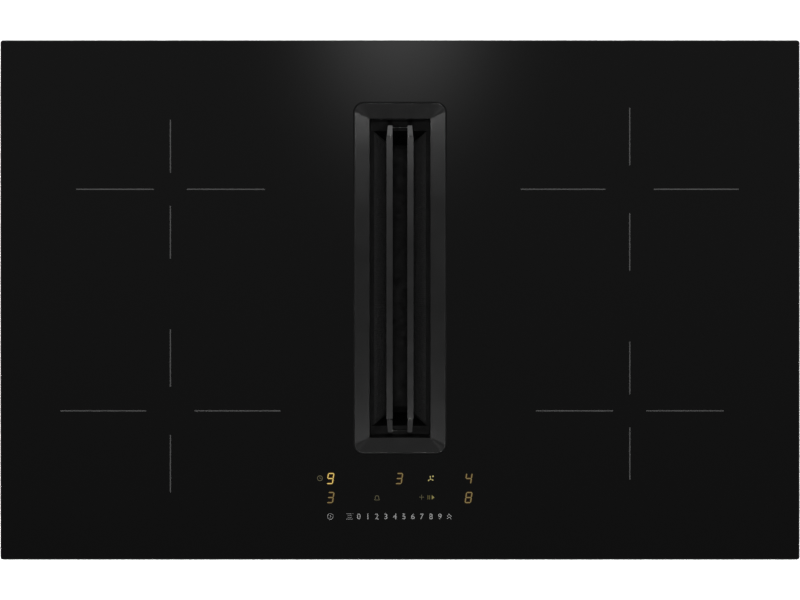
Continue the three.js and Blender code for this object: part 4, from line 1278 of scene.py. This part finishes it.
module_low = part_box("module_base")[0]
module_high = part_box("module_cover")[1]
SEAM_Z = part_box("module_base")[1].z
COVER_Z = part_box("module_cover")[0].z
MODULE_RADIUS = 8 * MM
LIP_OUT = 2.2 * MM
LIP_SINK = 0.3 * MM
LIP_HEIGHT = 2.4 * MM
LIP_EDGE = 0.5 * MM
TERMINAL_INSET = 7 * MM
FLANGE_FACE = 2.3 * MM
FLANGE_WIDTH = 6 * MM
FLANGE_HEIGHTS = (20 * MM, 80 * MM)
FLANGE_SHARES = (0.2, 0.5, 0.8)
RIVET_UP = 7 * MM
CASING_RIM = 5 * MM

# In millimetres: rivets along the outer wall, and from it along the other two.
RIVETS_Y = (-215, -75, 75, 215)
RIVETS_IN = (26, 112, 198, 270)

# In millimetres: clips along the sides and the front, and their (out, up) profile.
CLIPS_Y = (-130, 30, 190)
CLIPS_X = (0, 150, 300)
CLIP_PROFILE = [
    (-0.3, -13), (1.0, -13), (1.4, -6), (2.9, -4.6), (3.3, 0),
    (2.9, 4.6), (1.4, 6), (1.0, 13), (-0.3, 13)]
CLIP_WIDTH = 15 * MM
CLIP_EDGE = 0.3 * MM

# In millimetres: each bead's x and ends, and the (inset, drop) of its side.
BEADS = [(-366, -205, 205), (-250, -200, 115), (-172, -200, 205), (-95, -105, 205)]
BEAD_PROFILE = ((0, -0.2), (0, 0.15), (0.9, 0.75), (1.9, 0.95))
BEAD_WIDTH = 9 * MM
BEAD_SMOOTH = 50

terminal_screws()
flange_screws()
casing_rivets("left")
casing_rivets("right")
module_lip("module_lip_base", SEAM_Z - LIP_HEIGHT, SEAM_Z)
module_lip("module_lip_cover", COVER_Z, COVER_Z + LIP_HEIGHT)
module_clips()
floor_beads()


# ---------------------------------------------------------- CAD nodes' finish

for row in frame["record"]["subparts"]:
    name = row["node"]
    materials = nodes[name].data.materials
    materials.clear()
    # The filter's frame takes the near-black steel, painted shade for the depths of the intake.
    materials.append(painted_shade_steel if name == "filter_frame" else finishes[row["material_slot"]])

# How far the edges of CAD nodes are rounded, in millimetres. The others are only smoothed.
EDGES = {
    "glass_plate": 0.12, "filter_frame": 0.3, "overflow_tray": 0.3,
    "worktop_seal": 0.4, "intake_shaft": 0.2, "control_carrier": 0.3, "terminal_box": 0.5,
    "terminal_cover": 0.5, "terminal_block": 0.3, "cable_gland": 0.3, "module_base": 0.8,
    "module_cover": 0.8, "scroll_housing": 0.4, "scroll_cover": 0.3, "outlet_spigot": 0.3,
    "fan_control_box": 0.5, "backdraft_flap": 0.2, "casing_left": 0.25, "casing_right": 0.25,
}
for name in nodes:
    soften(name, EDGES.get(name, 0) * MM)
